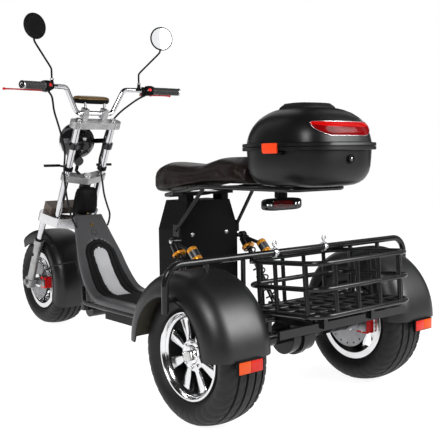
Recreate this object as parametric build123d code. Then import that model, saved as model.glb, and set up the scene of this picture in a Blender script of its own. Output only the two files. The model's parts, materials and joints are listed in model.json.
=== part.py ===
from build123d import *
import os
from math import atan2, cos, degrees, pi, radians, sin, tan

# Motorized trike: one steered wheel in front, two wheels on a rear axle under a cargo basket.
# Lengths are millimetres. +X points forward, +Y to the rider's left, +Z up, and the ground is Z = 0.
# Pieces are drawn with X counted from the rear axle; write() moves them to the trike's own origin,
# which lies on the ground under the middle of the trike.

# ---------------------------------------------------------------- driving dimensions
ORIGIN_FROM_REAR_AXLE = 785      # the trike's origin, ahead of the rear axle
WHEELBASE = 1700
REAR_TRACK_HALF = 380            # centre line to the middle of a rear tyre
RAKE = 27                        # fork, degrees back from upright

# wheels
WHEEL_RADIUS = 223
TYRE_HALF_WIDTH = 84
TREAD_HALF_WIDTH = 62
TREAD_DROP = 9                   # the tread's edge lies this much inside the wheel's radius
BEAD_RADIUS = 127
BEAD_HALF_WIDTH = 60
RIM_FLANGE_RADIUS = 140
RIM_FLANGE_WIDTH = 12
RIM_WALL = 9
RIM_SEAT_GAP = 0.3               # tyre to rim
HUB_RADIUS = 34
AXLE_RADIUS = 10
AXLE_RUNNING_GAP = 0.06
WEB_THICKNESS = 22
REAR_WEB_OUT = 26                # inner face of a rear wheel's web, outboard of the tyre's middle
HUB_REACH = 92                   # hub's length on the disc's side of the tyre's middle
WEB_WINDOW_STEP = 12              # windows start this far outside the hub
WEB_WINDOW_MARGIN = 7             # and end this far inside the barrel
WEB_WINDOW_ROUND = 6
HUB_PROUD = 8                    # the hub stands out past the web
REAR_WINDOWS = 8
REAR_WINDOW_SHARE = 0.6
FRONT_WINDOW_SHARE = 0.72
FRONT_WINDOWS = 12
DISC_RADIUS = 92
DISC_INNER_RADIUS = 52
DISC_THICKNESS = 4
DISC_HOLE_RADIUS = 3.5
DISC_HOLES = 16
DISC_SIDE = 86                   # disc, beside the tyre's middle

# fork and steering
SLIDER_SPREAD = 130              # centre line to a lower fork tube
TUBE_SPREAD = 90                 # centre line to an upper fork tube
UPPER_TUBE_SETBACK = 50          # upper tubes, behind the lower tubes' line
STEM_SETBACK = 80                # steering axis, behind the lower tubes' line
UPPER_TUBE_RADIUS = 16
LOWER_TUBE_RADIUS = 14.5
SLIDER_RADIUS = 20
SLIDER_TOP = 242                 # heights along the fork, from the front axle
SLIDER_COLLAR = 26
SLIDER_COLLAR_STEP = 4
SLIDER_FOOT = 44
AXLE_NUT_RADIUS = 15
AXLE_NUT_THICKNESS = 12
REAR_NUT_RADIUS = 17
REAR_NUT_THICKNESS = 10
SPACER_STEP = 6                  # a spacer is this much larger than the axle
YOKE_BOTTOM = 352
YOKE_TOP = 400
BRIDGE_BOTTOM = 596
BRIDGE_TOP = 628
CROWN_BOTTOM = 866
CROWN_TOP = 898
STEM_RADIUS = 14
HEAD_TUBE_RADIUS = 26
HEAD_TUBE_END_GAP = 6
CLAMP_GAP = 0.1                  # round fits within one body
TOUCH_GAP = 0.3                  # clearance between neighbours that only rest against each other

# handlebar
BAR_RADIUS = 11
GRIP_RADIUS = 17
GRIP_END = 400                   # centre line to a grip's outer end
GRIP_END_X = 1156                # from the rear axle
GRIP_LENGTH = 124
BAR_TOP_X = 1246
BAR_TOP_HEIGHT = 1147
GRIP_HEIGHT = BAR_TOP_HEIGHT - 7
BAR_BEND = 28
BAR_LOW_SIDE = 92                # the bar's bends, from the centre line
BAR_HIGH_SIDE = 150
BAR_ELBOW_SIDE = 205
BAR_ELBOW_BACK = 14
GRIP_CAP_LENGTH = 8

POD_LENGTH = 36
POD_DEPTH = 44
POD_HEIGHT = 48
POD_GAP = 2                      # between grip and pod
LEVER_HEIGHT = GRIP_HEIGHT - 12
LEVER_PIVOT = (1250, 246, LEVER_HEIGHT)
LEVER_ELBOW = (1262, 330, LEVER_HEIGHT + 1)
LEVER_TIP = (1270, 436, LEVER_HEIGHT + 2)
LEVER_RADIUS = 5
LEVER_BEND = 40
MIRROR_X = 1180
MIRROR_SPREAD = 326
MIRROR_HEIGHT = BAR_TOP_HEIGHT + 242
MIRROR_THICKNESS = 10
MIRROR_STEM_RADIUS = 4
MIRROR_STEM_BEND = 18
MIRROR_FOOT_RADIUS = 8
MIRROR_FOOT_HEIGHT = 14
MIRROR_FACING = (-1, 0.12, 0.06)
DISPLAY_X = 1290
DISPLAY_RISE = 46.6              # above the handlebar's clamps
DISPLAY_TILT = -8
DISPLAY_THICKNESS = 34
DISPLAY_EDGE = 12
HEADLIGHT_DEPTH = 110
HEADLIGHT_CONE = 50              # the back part that narrows
HEADLIGHT_BACK_RADIUS = 38
HEADLIGHT_LENS_THICKNESS = 8
HEADLIGHT_LENS_INSET = 6
EAR_HALF = 16                    # headlight ears, above and below the lamp's middle
EAR_REACH = 90                   # ahead of the bowl's back
TUBE_CLAMP_STEP = 6              # a clamp is this much larger than an upper tube
HEADLIGHT_CLAMP_UP = (760, 790)
INDICATOR_CLAMP_UP = (648, 664)
INDICATOR_X = 1420
INDICATOR_FROM = 108
INDICATOR_TO = 176
INDICATOR_HEIGHT = 799
BAR_AHEAD = -22                  # the bar's middle, from the lower fork tubes' line
BAR_UP = 923
RISER_SPREAD = 50
RISER_DEPTH = 34
RISER_WIDTH = 26
RISER_WALL = 10
YOKE_BAR_RADIUS = 26
BRIDGE_BAR_RADIUS = 25
STEM_NUT_RADIUS = 20
STEM_NUT_HEIGHT = 10
DISPLAY_POST_X = 1256
DISPLAY_POST_DROP = 34
DISPLAY_POST_RADIUS = 6
HORN_AHEAD = -24
HORN_UP = 682
HORN_RADIUS = 22
HORN_DEPTH = 22
HORN_PLATE_SIDES = (22, 38)
FENDER_BOSS_UP = 198             # up the fork, where the sliders carry the front fender
FENDER_BOSS_RADIUS = 7
MIRROR_RADIUS = 55
DISPLAY_LENGTH = 180
DISPLAY_WIDTH = 96
HEADLIGHT_RADIUS = 84
HEADLIGHT_BACK = 1342            # from the rear axle
HEADLIGHT_HEIGHT = 913

# bodywork
FLOOR_TOP = 226
FLOOR_HALF_WIDTH = 158
FLOOR_REAR = 580
SHIELD_THICKNESS = 24
SHIELD_TOP_X = 1338
SHIELD_TOP_HEIGHT = 566
SHIELD_KNEE_RISE = 24            # the knee, above the floor
SHIELD_TOE = 60                  # the floor's front, behind the knee
SHIELD_LOW_RISE = 70             # where the shield is at its low width, above the floor
SHIELD_TOP_HALF = 74
SHIELD_KNEE_X = 1120
SHIELD_LOW_HALF = 128
MAT_THICKNESS = 7
MAT_HALF_WIDTH = 112
MAT_TOP_HEIGHT = SHIELD_TOP_HEIGHT - 96
INSERT_HALF_WIDTH = 36
INSERT_THICKNESS = 3
INSERT_TOP_HEIGHT = SHIELD_TOP_HEIGHT - 141
INSERT_REAR = 960
DOWN_TUBE_X = 1326
DOWN_TUBE_KNEE = 350
DOWN_TUBE_TOP = 500              # up the fork, where the tube meets the head tube
DOWN_TUBE_RADIUS = 20
DOWN_TUBE_BEND = 60
RAIL_HALF_WIDTH = 146
RAIL_RADIUS = 10
RAIL_HEIGHT = FLOOR_TOP - SHIELD_THICKNESS - RAIL_RADIUS - TOUCH_GAP
RAIL_BEND = 40
CROSS_RADIUS = 8
BELLY_X = 1165
BELLY_HEIGHT = 156
BELLY_RADIUS = 34
PIVOT_X = 452                    # swing arm's pivot
CROSS_MIDDLE = 290               # middle and front cross members, ahead of the pivot
CROSS_FRONT = 560
CROSS_MEMBERS = (PIVOT_X, PIVOT_X + CROSS_MIDDLE, PIVOT_X + CROSS_FRONT)
FENDER_WALL = 3

FRONT_FENDER_RADIUS = 252
FRONT_FENDER_HALF_WIDTH = 106
FRONT_FENDER_CROWN = 42
FRONT_FENDER_SKIRT = 66
FRONT_FENDER_FRONT = 50          # degrees above level, ahead of the axle
FRONT_FENDER_REAR = 206

# rear end
RACK_HEIGHT = 725                # rack tubes' centre line
FENDER_RADIUS = 238
FENDER_CENTRE_HEIGHT = 250
FENDER_INNER = 282
FENDER_OUTER = 527
FENDER_CROWN = 60                # rounding of the fender's shoulders
FENDER_SKIRT = 74                # the fender's sides reach this far in from its crown
HOOP_X = -45
HOOP_HEIGHT = 518
HOOP_HALF_WIDTH = FENDER_OUTER + 33
HOOP_RADIUS = 11
HOOP_END_HEIGHT = 378
HOOP_BEND = 60
HOOP_STAY_RADIUS = 8
HOOP_LUG_HEIGHTS = (410, 422)

BASKET_FRONT = -12
BASKET_REAR = -335
BASKET_HALF_WIDTH = 222
BASKET_MIDDLE = 422
BASKET_BOTTOM = 342
BASKET_TUBE_RADIUS = 8
BASKET_CORNER = 60
BASKET_TILT = 3.9                # degrees, the back raised

BASKET_SIDE_POSTS = (-78, -155, -285)
BASKET_END_POSTS = (-150, -50, 50, 150)
BASKET_FLOOR_BARS = (-165, -110, -55, 0, 55, 110, 165)
BASKET_CROSS_BARS = (-90, -175, -260)
AXLE_TUBE_RADIUS = 26
DRIVE_RADIUS = 58
DRIVE_HALF_WIDTH = 52
SWING_ARM_SIDE = 169
PIVOT_RADIUS = 12
PIVOT_HALF_WIDTH = 186
SHOCK_TOP_X = 437
SHOCK_TOP_HEIGHT = 523
SHOCK_SIDE = 169
SHOCK_FOOT_X = 245
SHOCK_ROD_RADIUS = 9
SHOCK_COLLAR_RADIUS = 26
SHOCK_HEAD_END = 50               # along the shock from its top eye
SHOCK_COLLAR_END = 60
SHOCK_EYE_RADIUS = 14
SHOCK_FOOT_EYE_RADIUS = 12
SHOCK_EYE_HALF = 10
SHOCK_HEAD_RADIUS = 20
SHOCK_CUP_END = 26               # the lower spring cup, up from the foot
SHOCK_CUP_THICKNESS = 8
SPRING_RADIUS = 24
SPRING_INNER_RADIUS = 18
SHOCK_MOUNT_RADIUS = 8
SWING_ARM_HALF_HEIGHT = 22
SWING_ARM_HALF_WIDTH = 12
RESERVOIR_TOP = (335, 506)       # (x, z)
RESERVOIR_FOOT = (287, 456)
RESERVOIR_RADIUS = 19
RESERVOIR_LINK_RADIUS = 7

CARRIER_HEIGHT = 300
CARRIER_ARM_SIDE = 112
CROSSBAR_X = -250
CROSSBAR_HALF = 298
CROSSBAR_HEIGHTS = (292, 318)
CROSSBAR_HALF_THICKNESS = 4
CARRIER_BAR_HALF = 8
UPRIGHT_RADIUS = 8
UPRIGHT_SIDE = 255
TAIL_LAMP_X = 40
TAIL_LAMP_HALF = 86
TAIL_LAMP_TOP = RACK_HEIGHT - 36
TAIL_LAMP_TALL = 42
TAIL_LAMP_HALF_DEPTH = 15
TAIL_LAMP_ROUND = 12
TAIL_LAMP_BRACKET_HALF = 22
REFLECTOR_SPAN = (363, 456)
REFLECTOR_THICKNESS = 14
REFLECTOR_HEIGHTS = (-36, 3)     # from the fender's centre
CALIPER_OVER = 14                # a caliper stands out this far past its disc
CALIPER_BITE = 36                # and reaches this far over it
CALIPER_HALF = 18
CALIPER_CLEAR = 2.5
CALIPER_HALF_HEIGHT = 27
CALIPER_PLATE_HALF = 18
CALIPER_PLATE_THICKNESS = 7
NECK_HALF_WIDTH = 54
NECK_TOP = 690
NECK_BEND = (NECK_TOP + SHIELD_TOP_HEIGHT) / 2 + 12
NECK_CREST = [(-16, NECK_TOP), (34, NECK_TOP + 10), (58, NECK_BEND)]    # x from the shield's top edge
NECK_FOOT = [(86, 14), (24, 0), (8, 6), (-12, 34)]                      # x and z from the same edge
YOKE_COVER_HALF = 118
YOKE_COVER_BACK = 30
YOKE_COVER_RISE = 34
YOKE_COVER_FRONT = 16
YOKE_COVER_LIP = 14
CABLE_RADIUS = 4
HOSE_RADIUS = 3.5

# seat, rack and case
PILLAR_REAR = 436
PILLAR_DEPTH = 138
PILLAR_HALF_WIDTH = 140
PILLAR_TOP_HALF = 102
SEAT_PLATE_HEIGHT = RACK_HEIGHT - 35
PILLAR_TOP = SEAT_PLATE_HEIGHT - 22
PILLAR_WAIST = PILLAR_TOP - 108
PILLAR_POST_WIDTH = 34
PILLAR_POSTS = (8, 60)           # ahead of the pillar's back
SEAT_PLATE_THICKNESS = 10
SEAT_PLATE_SPAN = (4, 64)
STRUT_TOP_X = 310
STRUT_FOOT_X = 452
STRUT_FOOT_HEIGHT = PILLAR_WAIST
STRUT_RADIUS = 7
STRUT_PAD = (36, 8, 44)          # the plate at a strut's foot
RACK_KNEE = 330
RACK_FRONT = 592
RACK_FRONT_HEIGHT = RACK_HEIGHT - 41
RACK_FRONT_INSET = 22
RACK_BEND = 36
RACK_BARS = (-70, 44, 200)
SEAT_REAR = 118
SEAT_NOSE = 688
SEAT_HALF_WIDTH = 124
SEAT_TOP_LINE = [                # (x, height above the rack), from nose to back
    (684, 65), (648, 89), (560, 83), (430, 70), (360, 77), (292, 101), (170, 101), (134, 93),
    (SEAT_REAR, 75),
]
LID_LENS_THICKNESS = 6
LID_LENS_HALF_WIDTH = 132
LID_LENS_RISE = (33, 77)         # above the case's split
PAD_THICKNESS = 14
CLIP_X = -98
CLIP_LENGTH = 48
CLIP_THICKNESS = 7
CLIP_DROP = 20
LOCK_DROP = 40                   # below the case's split
LOCK_RADIUS = 11
PAD_LENGTH = 150
PAD_WIDTH = 160
PAD_ROUND = 30
PAD_AHEAD = 6
HINGE_RADIUS = 6
HINGE_PIN_RADIUS = 2.5
HINGE_GAP = 0.5
HINGE_LID_SPAN = (33, 51)
HINGE_BASE_SPAN = (52, 70)
HINGE_STRAP = 6
BATTERY_HALF_WIDTH = 140
BATTERY_BOTTOM = 145
BELLY_HALF_WIDTH = 112
RACK_HALF_WIDTH = 124
RACK_TUBE_RADIUS = 8
RACK_REAR = -140
CASE_CENTRE = -88
CASE_SIZE = 356
CASE_FLANGE = 14                 # the flange stands out this far all round
CASE_FLANGE_HEIGHT = 12
CASE_BASE_DEPTH = 127.7
CASE_SPLIT = RACK_HEIGHT + RACK_TUBE_RADIUS + TOUCH_GAP + CASE_BASE_DEPTH
CASE_LID_TOP = CASE_SPLIT + 127
CASE_WALL = 4
CASE_CORNER = 118
CASE_BOTTOM_ROUND = 62
CASE_LID_ROUND = 96
CASE_LID_GAP = 0.6

PARTS = {}


def add(name, shape):
    """Keep one node's shape; several solids in a node are pieces that don't touch."""
    PARTS[name] = shape


def cylinder_y(radius, y_from, y_to, x=0, z=0):
    """A round bar along Y."""
    centre = (x, (y_from + y_to) / 2, z)
    return Pos(*centre) * Rot(90, 0, 0) * Cylinder(radius, abs(y_to - y_from))


def mirrored(shape):
    """The same piece on the other side of the trike."""
    return mirror(shape, about=Plane.XZ)


def box_between(x, y, z):
    """A block from three (low, high) pairs."""
    low = (x[0], y[0], z[0])
    size = (x[1] - x[0], y[1] - y[0], z[1] - z[0])
    return Pos(*low) * Box(*size, align=(Align.MIN, Align.MIN, Align.MIN))


def tube(points, radius, bend=None):
    """A round bar along straight runs, with each corner rounded by the bend radius."""
    if len(points) == 2:
        path = Line(*points)
    else:
        path = FilletPolyline(*points, radius=bend)
    start = Plane(origin=path @ 0, z_dir=path % 0)
    return sweep(start * Circle(radius), path=path)


def y_ring(profile):
    """Turn a closed outline of (y, radius) points about the Y axis."""
    outline = Plane.YZ * make_face(Polyline(*profile, close=True))
    return revolve(outline, axis=Axis.Y)


FORK = Plane(
    origin=(WHEELBASE, 0, WHEEL_RADIUS),
    x_dir=(cos(radians(RAKE)), 0, sin(radians(RAKE))),
    z_dir=(-sin(radians(RAKE)), 0, cos(radians(RAKE))),
)


def fork_point(ahead, side, up):
    """Place a point given ahead of, beside and up along the lower fork tubes."""
    return tuple(FORK.from_local_coords(Vector(ahead, side, up)))


def on_fork(shape):
    return FORK.location * shape


# ---------------------------------------------------------------- wheels
def tyre():
    """One tyre, its middle at the origin: a crowned tread, round shoulders and thick walls."""
    wall = TYRE_HALF_WIDTH
    edge_radius = WHEEL_RADIUS - TREAD_DROP
    side_radius = RIM_FLANGE_RADIUS + 36
    foot_radius = RIM_FLANGE_RADIUS + 3
    left_edge = (-TREAD_HALF_WIDTH, edge_radius)
    right_edge = (TREAD_HALF_WIDTH, edge_radius)
    left_side = (-wall, side_radius)
    right_side = (wall, side_radius)
    left_foot = (-BEAD_HALF_WIDTH, foot_radius)
    right_foot = (BEAD_HALF_WIDTH, foot_radius)
    left_bead = (-BEAD_HALF_WIDTH, BEAD_RADIUS)
    right_bead = (BEAD_HALF_WIDTH, BEAD_RADIUS)
    shoulder = (wall - 6, (edge_radius + side_radius) / 2 + 6)
    flank = (wall - 6, (side_radius + foot_radius) / 2)
    loop = Wire([
        ThreePointArc(left_edge, (0, WHEEL_RADIUS), right_edge),
        ThreePointArc(right_edge, shoulder, right_side),
        ThreePointArc(right_side, flank, right_foot),
        Line(right_foot, right_bead),
        Line(right_bead, left_bead),
        Line(left_bead, left_foot),
        ThreePointArc(left_foot, (-flank[0], flank[1]), left_side),
        ThreePointArc(left_side, (-shoulder[0], shoulder[1]), left_edge),
    ])
    return revolve(Plane.YZ * make_face(loop), axis=Axis.Y)


def rim(web_from, windows, window_share):
    """One cast rim, its disc side towards -Y: barrel, flanges, windowed web, hub and bore."""
    seat = BEAD_RADIUS - RIM_SEAT_GAP
    barrel = seat - RIM_WALL
    inside = BEAD_HALF_WIDTH + RIM_SEAT_GAP
    outside = inside + RIM_FLANGE_WIDTH
    shell = y_ring([
        (-outside, barrel), (outside, barrel), (outside, RIM_FLANGE_RADIUS),
        (inside, RIM_FLANGE_RADIUS), (inside, seat), (-inside, seat),
        (-inside, RIM_FLANGE_RADIUS), (-outside, RIM_FLANGE_RADIUS),
    ])
    web_to = web_from + WEB_THICKNESS
    web = cylinder_y(barrel + 1, web_from, web_to)
    window_in = HUB_RADIUS + WEB_WINDOW_STEP
    window_out = barrel - WEB_WINDOW_MARGIN
    half_turn = pi / windows * window_share
    corners = [
        (window_in * sin(-half_turn), window_in * cos(half_turn)),
        (window_out * sin(-half_turn), window_out * cos(half_turn)),
        (window_out * sin(half_turn), window_out * cos(half_turn)),
        (window_in * sin(half_turn), window_in * cos(half_turn)),
    ]
    window_face = make_face(Polyline(*corners, close=True))
    window_face = fillet(
        window_face.vertices(), min(WEB_WINDOW_ROUND, window_in * sin(half_turn) * 0.7))
    cutter = Pos(0, web_from - 1, 0) * Rot(90, 0, 0) * extrude(window_face, -WEB_THICKNESS - 2)
    for turn in range(windows):
        web -= Rot(0, 360 / windows * turn, 0) * cutter
    hub = cylinder_y(HUB_RADIUS, -HUB_REACH, web_to + HUB_PROUD)
    bore = cylinder_y(AXLE_RADIUS + AXLE_RUNNING_GAP, -HUB_REACH - 1, TYRE_HALF_WIDTH)
    return shell + web + hub - bore


def brake_disc():
    """A drilled disc on the hub, on the -Y side of the wheel's middle."""
    low = -DISC_SIDE - DISC_THICKNESS / 2
    high = -DISC_SIDE + DISC_THICKNESS / 2
    plate = cylinder_y(DISC_RADIUS, low, high)
    plate -= cylinder_y(HUB_RADIUS + CLAMP_GAP, low - 1, high + 1)
    hole_circle = DISC_RADIUS - 12
    hole = Pos(hole_circle, 0, 0) * cylinder_y(DISC_HOLE_RADIUS, low - 1, high + 1)
    for turn in range(DISC_HOLES):
        plate -= Rot(0, 360 / DISC_HOLES * turn, 0) * hole
    return plate


def wheels():
    """Tyre, rim and disc of each wheel. The front disc is on the left, the rear ones inboard."""
    rubber = tyre()
    plate = brake_disc()
    front_rim = rim(-WEB_THICKNESS / 2, FRONT_WINDOWS, FRONT_WINDOW_SHARE)
    rear_rim = rim(REAR_WEB_OUT, REAR_WINDOWS, REAR_WINDOW_SHARE)
    half_turn = Rot(0, 0, 180)
    sets = [
        ("front", WHEELBASE, 0, front_rim, half_turn),
        ("rear_left", 0, REAR_TRACK_HALF, rear_rim, Rot(0, 0, 0)),
        ("rear_right", 0, -REAR_TRACK_HALF, rear_rim, half_turn),
    ]
    for name, x, y, casting, turn in sets:
        place = Pos(x, y, WHEEL_RADIUS) * turn
        add(f"tyre_{name}", place * rubber)
        add(f"rim_{name}", place * casting)
        add(f"disc_{name}", place * plate)


# ---------------------------------------------------------------- fork and steering
def plan_bar(points, radius, bottom, top):
    """A plate seen along the fork: rounded bars from each (ahead, side) point to the next."""
    plate = None
    for start, end in zip(points, points[1:]):
        run = Vector(end[0] - start[0], end[1] - start[1])
        middle = ((start[0] + end[0]) / 2, (start[1] + end[1]) / 2)
        slot = Pos(*middle) * Rot(0, 0, degrees(atan2(run.Y, run.X)))
        piece = slot * SlotCenterToCenter(run.length, 2 * radius)
        plate = piece if plate is None else plate + piece
    return Pos(0, 0, bottom) * extrude(plate, top - bottom)


def fork_bar(radius, ahead, side, bottom, top):
    height = top - bottom
    return Pos(ahead, side, bottom + height / 2) * Cylinder(radius, height)


def pair(make):
    """The left piece and its twin on the right."""
    return [make(1), make(-1)]


def riser(s, grow=0):
    """A block on the crown that clamps the handlebar; grown, it is the room that the block takes."""
    height = BAR_UP + BAR_RADIUS + RISER_WALL - CROWN_TOP
    middle = Pos(BAR_AHEAD, s * RISER_SPREAD, CROWN_TOP + height / 2)
    block = middle * Box(RISER_DEPTH + 2 * grow, RISER_WIDTH + 2 * grow, height + 2 * grow)
    if grow:
        return block
    bore = cylinder_y(BAR_RADIUS + CLAMP_GAP, -RISER_WIDTH, RISER_WIDTH)
    return block - Pos(BAR_AHEAD, s * RISER_SPREAD, BAR_UP) * bore


def fork():
    lower = pair(lambda s: fork_bar(LOWER_TUBE_RADIUS, 0, s * SLIDER_SPREAD, SLIDER_TOP, YOKE_BOTTOM))
    upper = pair(lambda s: fork_bar(
        UPPER_TUBE_RADIUS, -UPPER_TUBE_SETBACK, s * TUBE_SPREAD, YOKE_TOP, CROWN_TOP + 8))
    add("fork_tubes", Compound([on_fork(t) for t in lower + upper]))

    def slider(s):
        side = s * SLIDER_SPREAD
        collar_from = SLIDER_TOP - SLIDER_COLLAR
        leg = fork_bar(SLIDER_RADIUS, 0, side, -SLIDER_RADIUS, collar_from)
        collar = fork_bar(SLIDER_RADIUS + SLIDER_COLLAR_STEP, 0, side, collar_from, SLIDER_TOP)
        foot = Pos(0, side, -2) * Box(SLIDER_FOOT, 2 * SLIDER_RADIUS, SLIDER_FOOT)
        bore = cylinder_y(AXLE_RADIUS + CLAMP_GAP, side - SLIDER_FOOT, side + SLIDER_FOOT)
        return leg + collar + foot - bore
    add("fork_sliders", Compound([on_fork(slider(s)) for s in (1, -1)]))

    nut_face = SLIDER_SPREAD + SLIDER_RADIUS + TOUCH_GAP
    axle_half = nut_face + 2
    axle = cylinder_y(AXLE_RADIUS, -axle_half, axle_half, WHEELBASE, WHEEL_RADIUS)
    half_nut = AXLE_NUT_THICKNESS / 2
    nut_face_shape = RegularPolygon(AXLE_NUT_RADIUS, 6)
    nut = Rot(90, 0, 0) * extrude(nut_face_shape, half_nut, both=True)
    nut = Pos(WHEELBASE, nut_face + half_nut, WHEEL_RADIUS) * nut
    foot_face = SLIDER_SPREAD - SLIDER_RADIUS - TOUCH_GAP
    spacer = AXLE_RADIUS + SPACER_STEP
    hub_right = WEB_THICKNESS / 2 + HUB_PROUD + 2
    left_spacer = cylinder_y(spacer, HUB_REACH + 2, foot_face, WHEELBASE, WHEEL_RADIUS)
    right_spacer = cylinder_y(spacer, -foot_face, -hub_right, WHEELBASE, WHEEL_RADIUS)
    add("axle_front", axle + nut + mirrored(nut) + left_spacer + right_spacer)

    yoke_points = [
        (0, SLIDER_SPREAD), (-UPPER_TUBE_SETBACK, TUBE_SPREAD), (-STEM_SETBACK, 0),
        (-UPPER_TUBE_SETBACK, -TUBE_SPREAD), (0, -SLIDER_SPREAD),
    ]
    yoke = plan_bar(yoke_points, YOKE_BAR_RADIUS, YOKE_BOTTOM, YOKE_TOP)
    nut_top = BRIDGE_TOP + STEM_NUT_HEIGHT
    stem = fork_bar(STEM_RADIUS, -STEM_SETBACK, 0, YOKE_TOP - 1, nut_top)
    stem_nut = fork_bar(STEM_NUT_RADIUS, -STEM_SETBACK, 0, BRIDGE_TOP + TOUCH_GAP, nut_top)
    add("yoke", on_fork(yoke + stem + stem_nut))

    bridge_points = [
        (-UPPER_TUBE_SETBACK, TUBE_SPREAD), (-STEM_SETBACK, 0), (-UPPER_TUBE_SETBACK, -TUBE_SPREAD),
    ]
    bores = [fork_bar(UPPER_TUBE_RADIUS + CLAMP_GAP, -UPPER_TUBE_SETBACK, s * TUBE_SPREAD,
                      BRIDGE_BOTTOM - 1, CROWN_TOP + 1) for s in (1, -1)]
    bridge = plan_bar(bridge_points, BRIDGE_BAR_RADIUS, BRIDGE_BOTTOM, BRIDGE_TOP)
    stem_bore = fork_bar(STEM_RADIUS + CLAMP_GAP, -STEM_SETBACK, 0, BRIDGE_BOTTOM - 1, BRIDGE_TOP + 1)
    bridge = bridge - bores[0] - bores[1] - stem_bore

    crown_points = [
        (-UPPER_TUBE_SETBACK, TUBE_SPREAD + 14), (-UPPER_TUBE_SETBACK, 0),
        (-UPPER_TUBE_SETBACK, -TUBE_SPREAD - 14),
    ]
    crown = plan_bar(crown_points, BRIDGE_BAR_RADIUS, CROWN_BOTTOM, CROWN_TOP) - bores[0] - bores[1]
    for s in (1, -1):
        crown += riser(s)
    add("fork_bridges", Compound([on_fork(bridge), on_fork(crown)]))


def fender_shell(inner, outer, radius, shoulder, skirt, start, end):
    """A fender about the Y axis: a U section turned from one angle to another, 0 towards +X."""
    def section(offset):
        low, high, top = inner + offset, outer - offset, radius - offset
        bend = shoulder - offset
        foot = radius - skirt
        left = ThreePointArc(
            (low, top - bend), (low + bend * (1 - cos(pi / 4)), top - bend * (1 - sin(pi / 4))),
            (low + bend, top))
        right = ThreePointArc(
            (high - bend, top), (high - bend * (1 - cos(pi / 4)), top - bend * (1 - sin(pi / 4))),
            (high, top - bend))
        return [
            Line((low, foot), (low, top - bend)), left, Line((low + bend, top), (high - bend, top)),
            right, Line((high, top - bend), (high, foot)),
        ]
    outside = section(0)
    inside = section(FENDER_WALL)
    lips = [
        Line((inner, radius - skirt), (inner + FENDER_WALL, radius - skirt)),
        Line((outer - FENDER_WALL, radius - skirt), (outer, radius - skirt)),
    ]
    face = Plane.YZ * make_face(Wire(outside + inside + lips))
    first = Rot(0, 90 - start, 0) * face
    return revolve(first, axis=Axis.Y, revolution_arc=-(end - start))


def front_fender():
    shell = fender_shell(
        -FRONT_FENDER_HALF_WIDTH, FRONT_FENDER_HALF_WIDTH, FRONT_FENDER_RADIUS,
        FRONT_FENDER_CROWN, FRONT_FENDER_SKIRT, FRONT_FENDER_FRONT, FRONT_FENDER_REAR)
    shell = Pos(WHEELBASE, 0, WHEEL_RADIUS) * shell
    slider_face = SLIDER_SPREAD - SLIDER_RADIUS - TOUCH_GAP
    boss = cylinder_y(FENDER_BOSS_RADIUS, FRONT_FENDER_HALF_WIDTH - 1, slider_face)
    boss = Pos(0, 0, FENDER_BOSS_UP) * boss
    add("fender_front", shell + on_fork(boss) + on_fork(mirrored(boss)))


def rear_fenders():
    left = fender_shell(
        FENDER_INNER, FENDER_OUTER, FENDER_RADIUS, FENDER_CROWN, FENDER_SKIRT, 0, 180)
    left = Pos(0, 0, FENDER_CENTRE_HEIGHT) * left
    add("fender_rear_left", left)
    add("fender_rear_right", mirrored(left))


def grip_line():
    """The left side of the handlebar: its corner points, the grip's direction and its outer end."""
    middle = fork_point(BAR_AHEAD, 0, BAR_UP)
    points = [
        middle, (middle[0], BAR_LOW_SIDE, middle[2]), (BAR_TOP_X, BAR_HIGH_SIDE, BAR_TOP_HEIGHT),
        (BAR_TOP_X - BAR_ELBOW_BACK, BAR_ELBOW_SIDE, BAR_TOP_HEIGHT),
        (GRIP_END_X, GRIP_END, GRIP_HEIGHT),
    ]
    end = Vector(*points[-1])
    along = (end - Vector(*points[-2])).normalized()
    return points, along, end


def on_grip(distance):
    """A plane across the left grip, this far in from the bar's end, facing outward."""
    points, along, end = grip_line()
    return Plane(origin=end - along * distance, z_dir=along)


def sleeve(outer, inner, length, from_end):
    """A ring on the left grip's line; its inner face is from_end away from the bar's end."""
    return on_grip(from_end) * extrude(Circle(outer) - Circle(inner), length)


def both_sides(shape):
    return Compound([shape, mirrored(shape)])


def handlebar():
    """Bar, grips with their end caps, control pods and levers."""
    points, along, end = grip_line()
    half_bar = tube(points, BAR_RADIUS, BAR_BEND)
    add("handlebar", half_bar + mirrored(half_bar))

    inner = BAR_RADIUS + CLAMP_GAP
    grip = sleeve(GRIP_RADIUS, inner, GRIP_LENGTH, GRIP_LENGTH)
    cap = on_grip(-TOUCH_GAP) * extrude(Circle(GRIP_RADIUS), GRIP_CAP_LENGTH)
    add("grips", Compound([grip, mirrored(grip), cap, mirrored(cap)]))

    pod_from = GRIP_LENGTH + POD_LENGTH + POD_GAP
    pod = on_grip(pod_from) * (Pos(0, 0, POD_LENGTH / 2) * Box(POD_DEPTH, POD_HEIGHT, POD_LENGTH))
    pod += box_between(
        (LEVER_PIVOT[0] - 40, LEVER_PIVOT[0] - LEVER_RADIUS - TOUCH_GAP),
        (LEVER_PIVOT[1] + 2, LEVER_PIVOT[1] + 22), (LEVER_PIVOT[2] - 6, LEVER_PIVOT[2] + 8))
    pod -= on_grip(pod_from + 5) * extrude(Circle(inner), POD_LENGTH + 10)
    add("control_pods", both_sides(pod))

    lever = tube([LEVER_PIVOT, LEVER_ELBOW, LEVER_TIP], LEVER_RADIUS, LEVER_BEND)
    add("levers", both_sides(lever))


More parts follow.
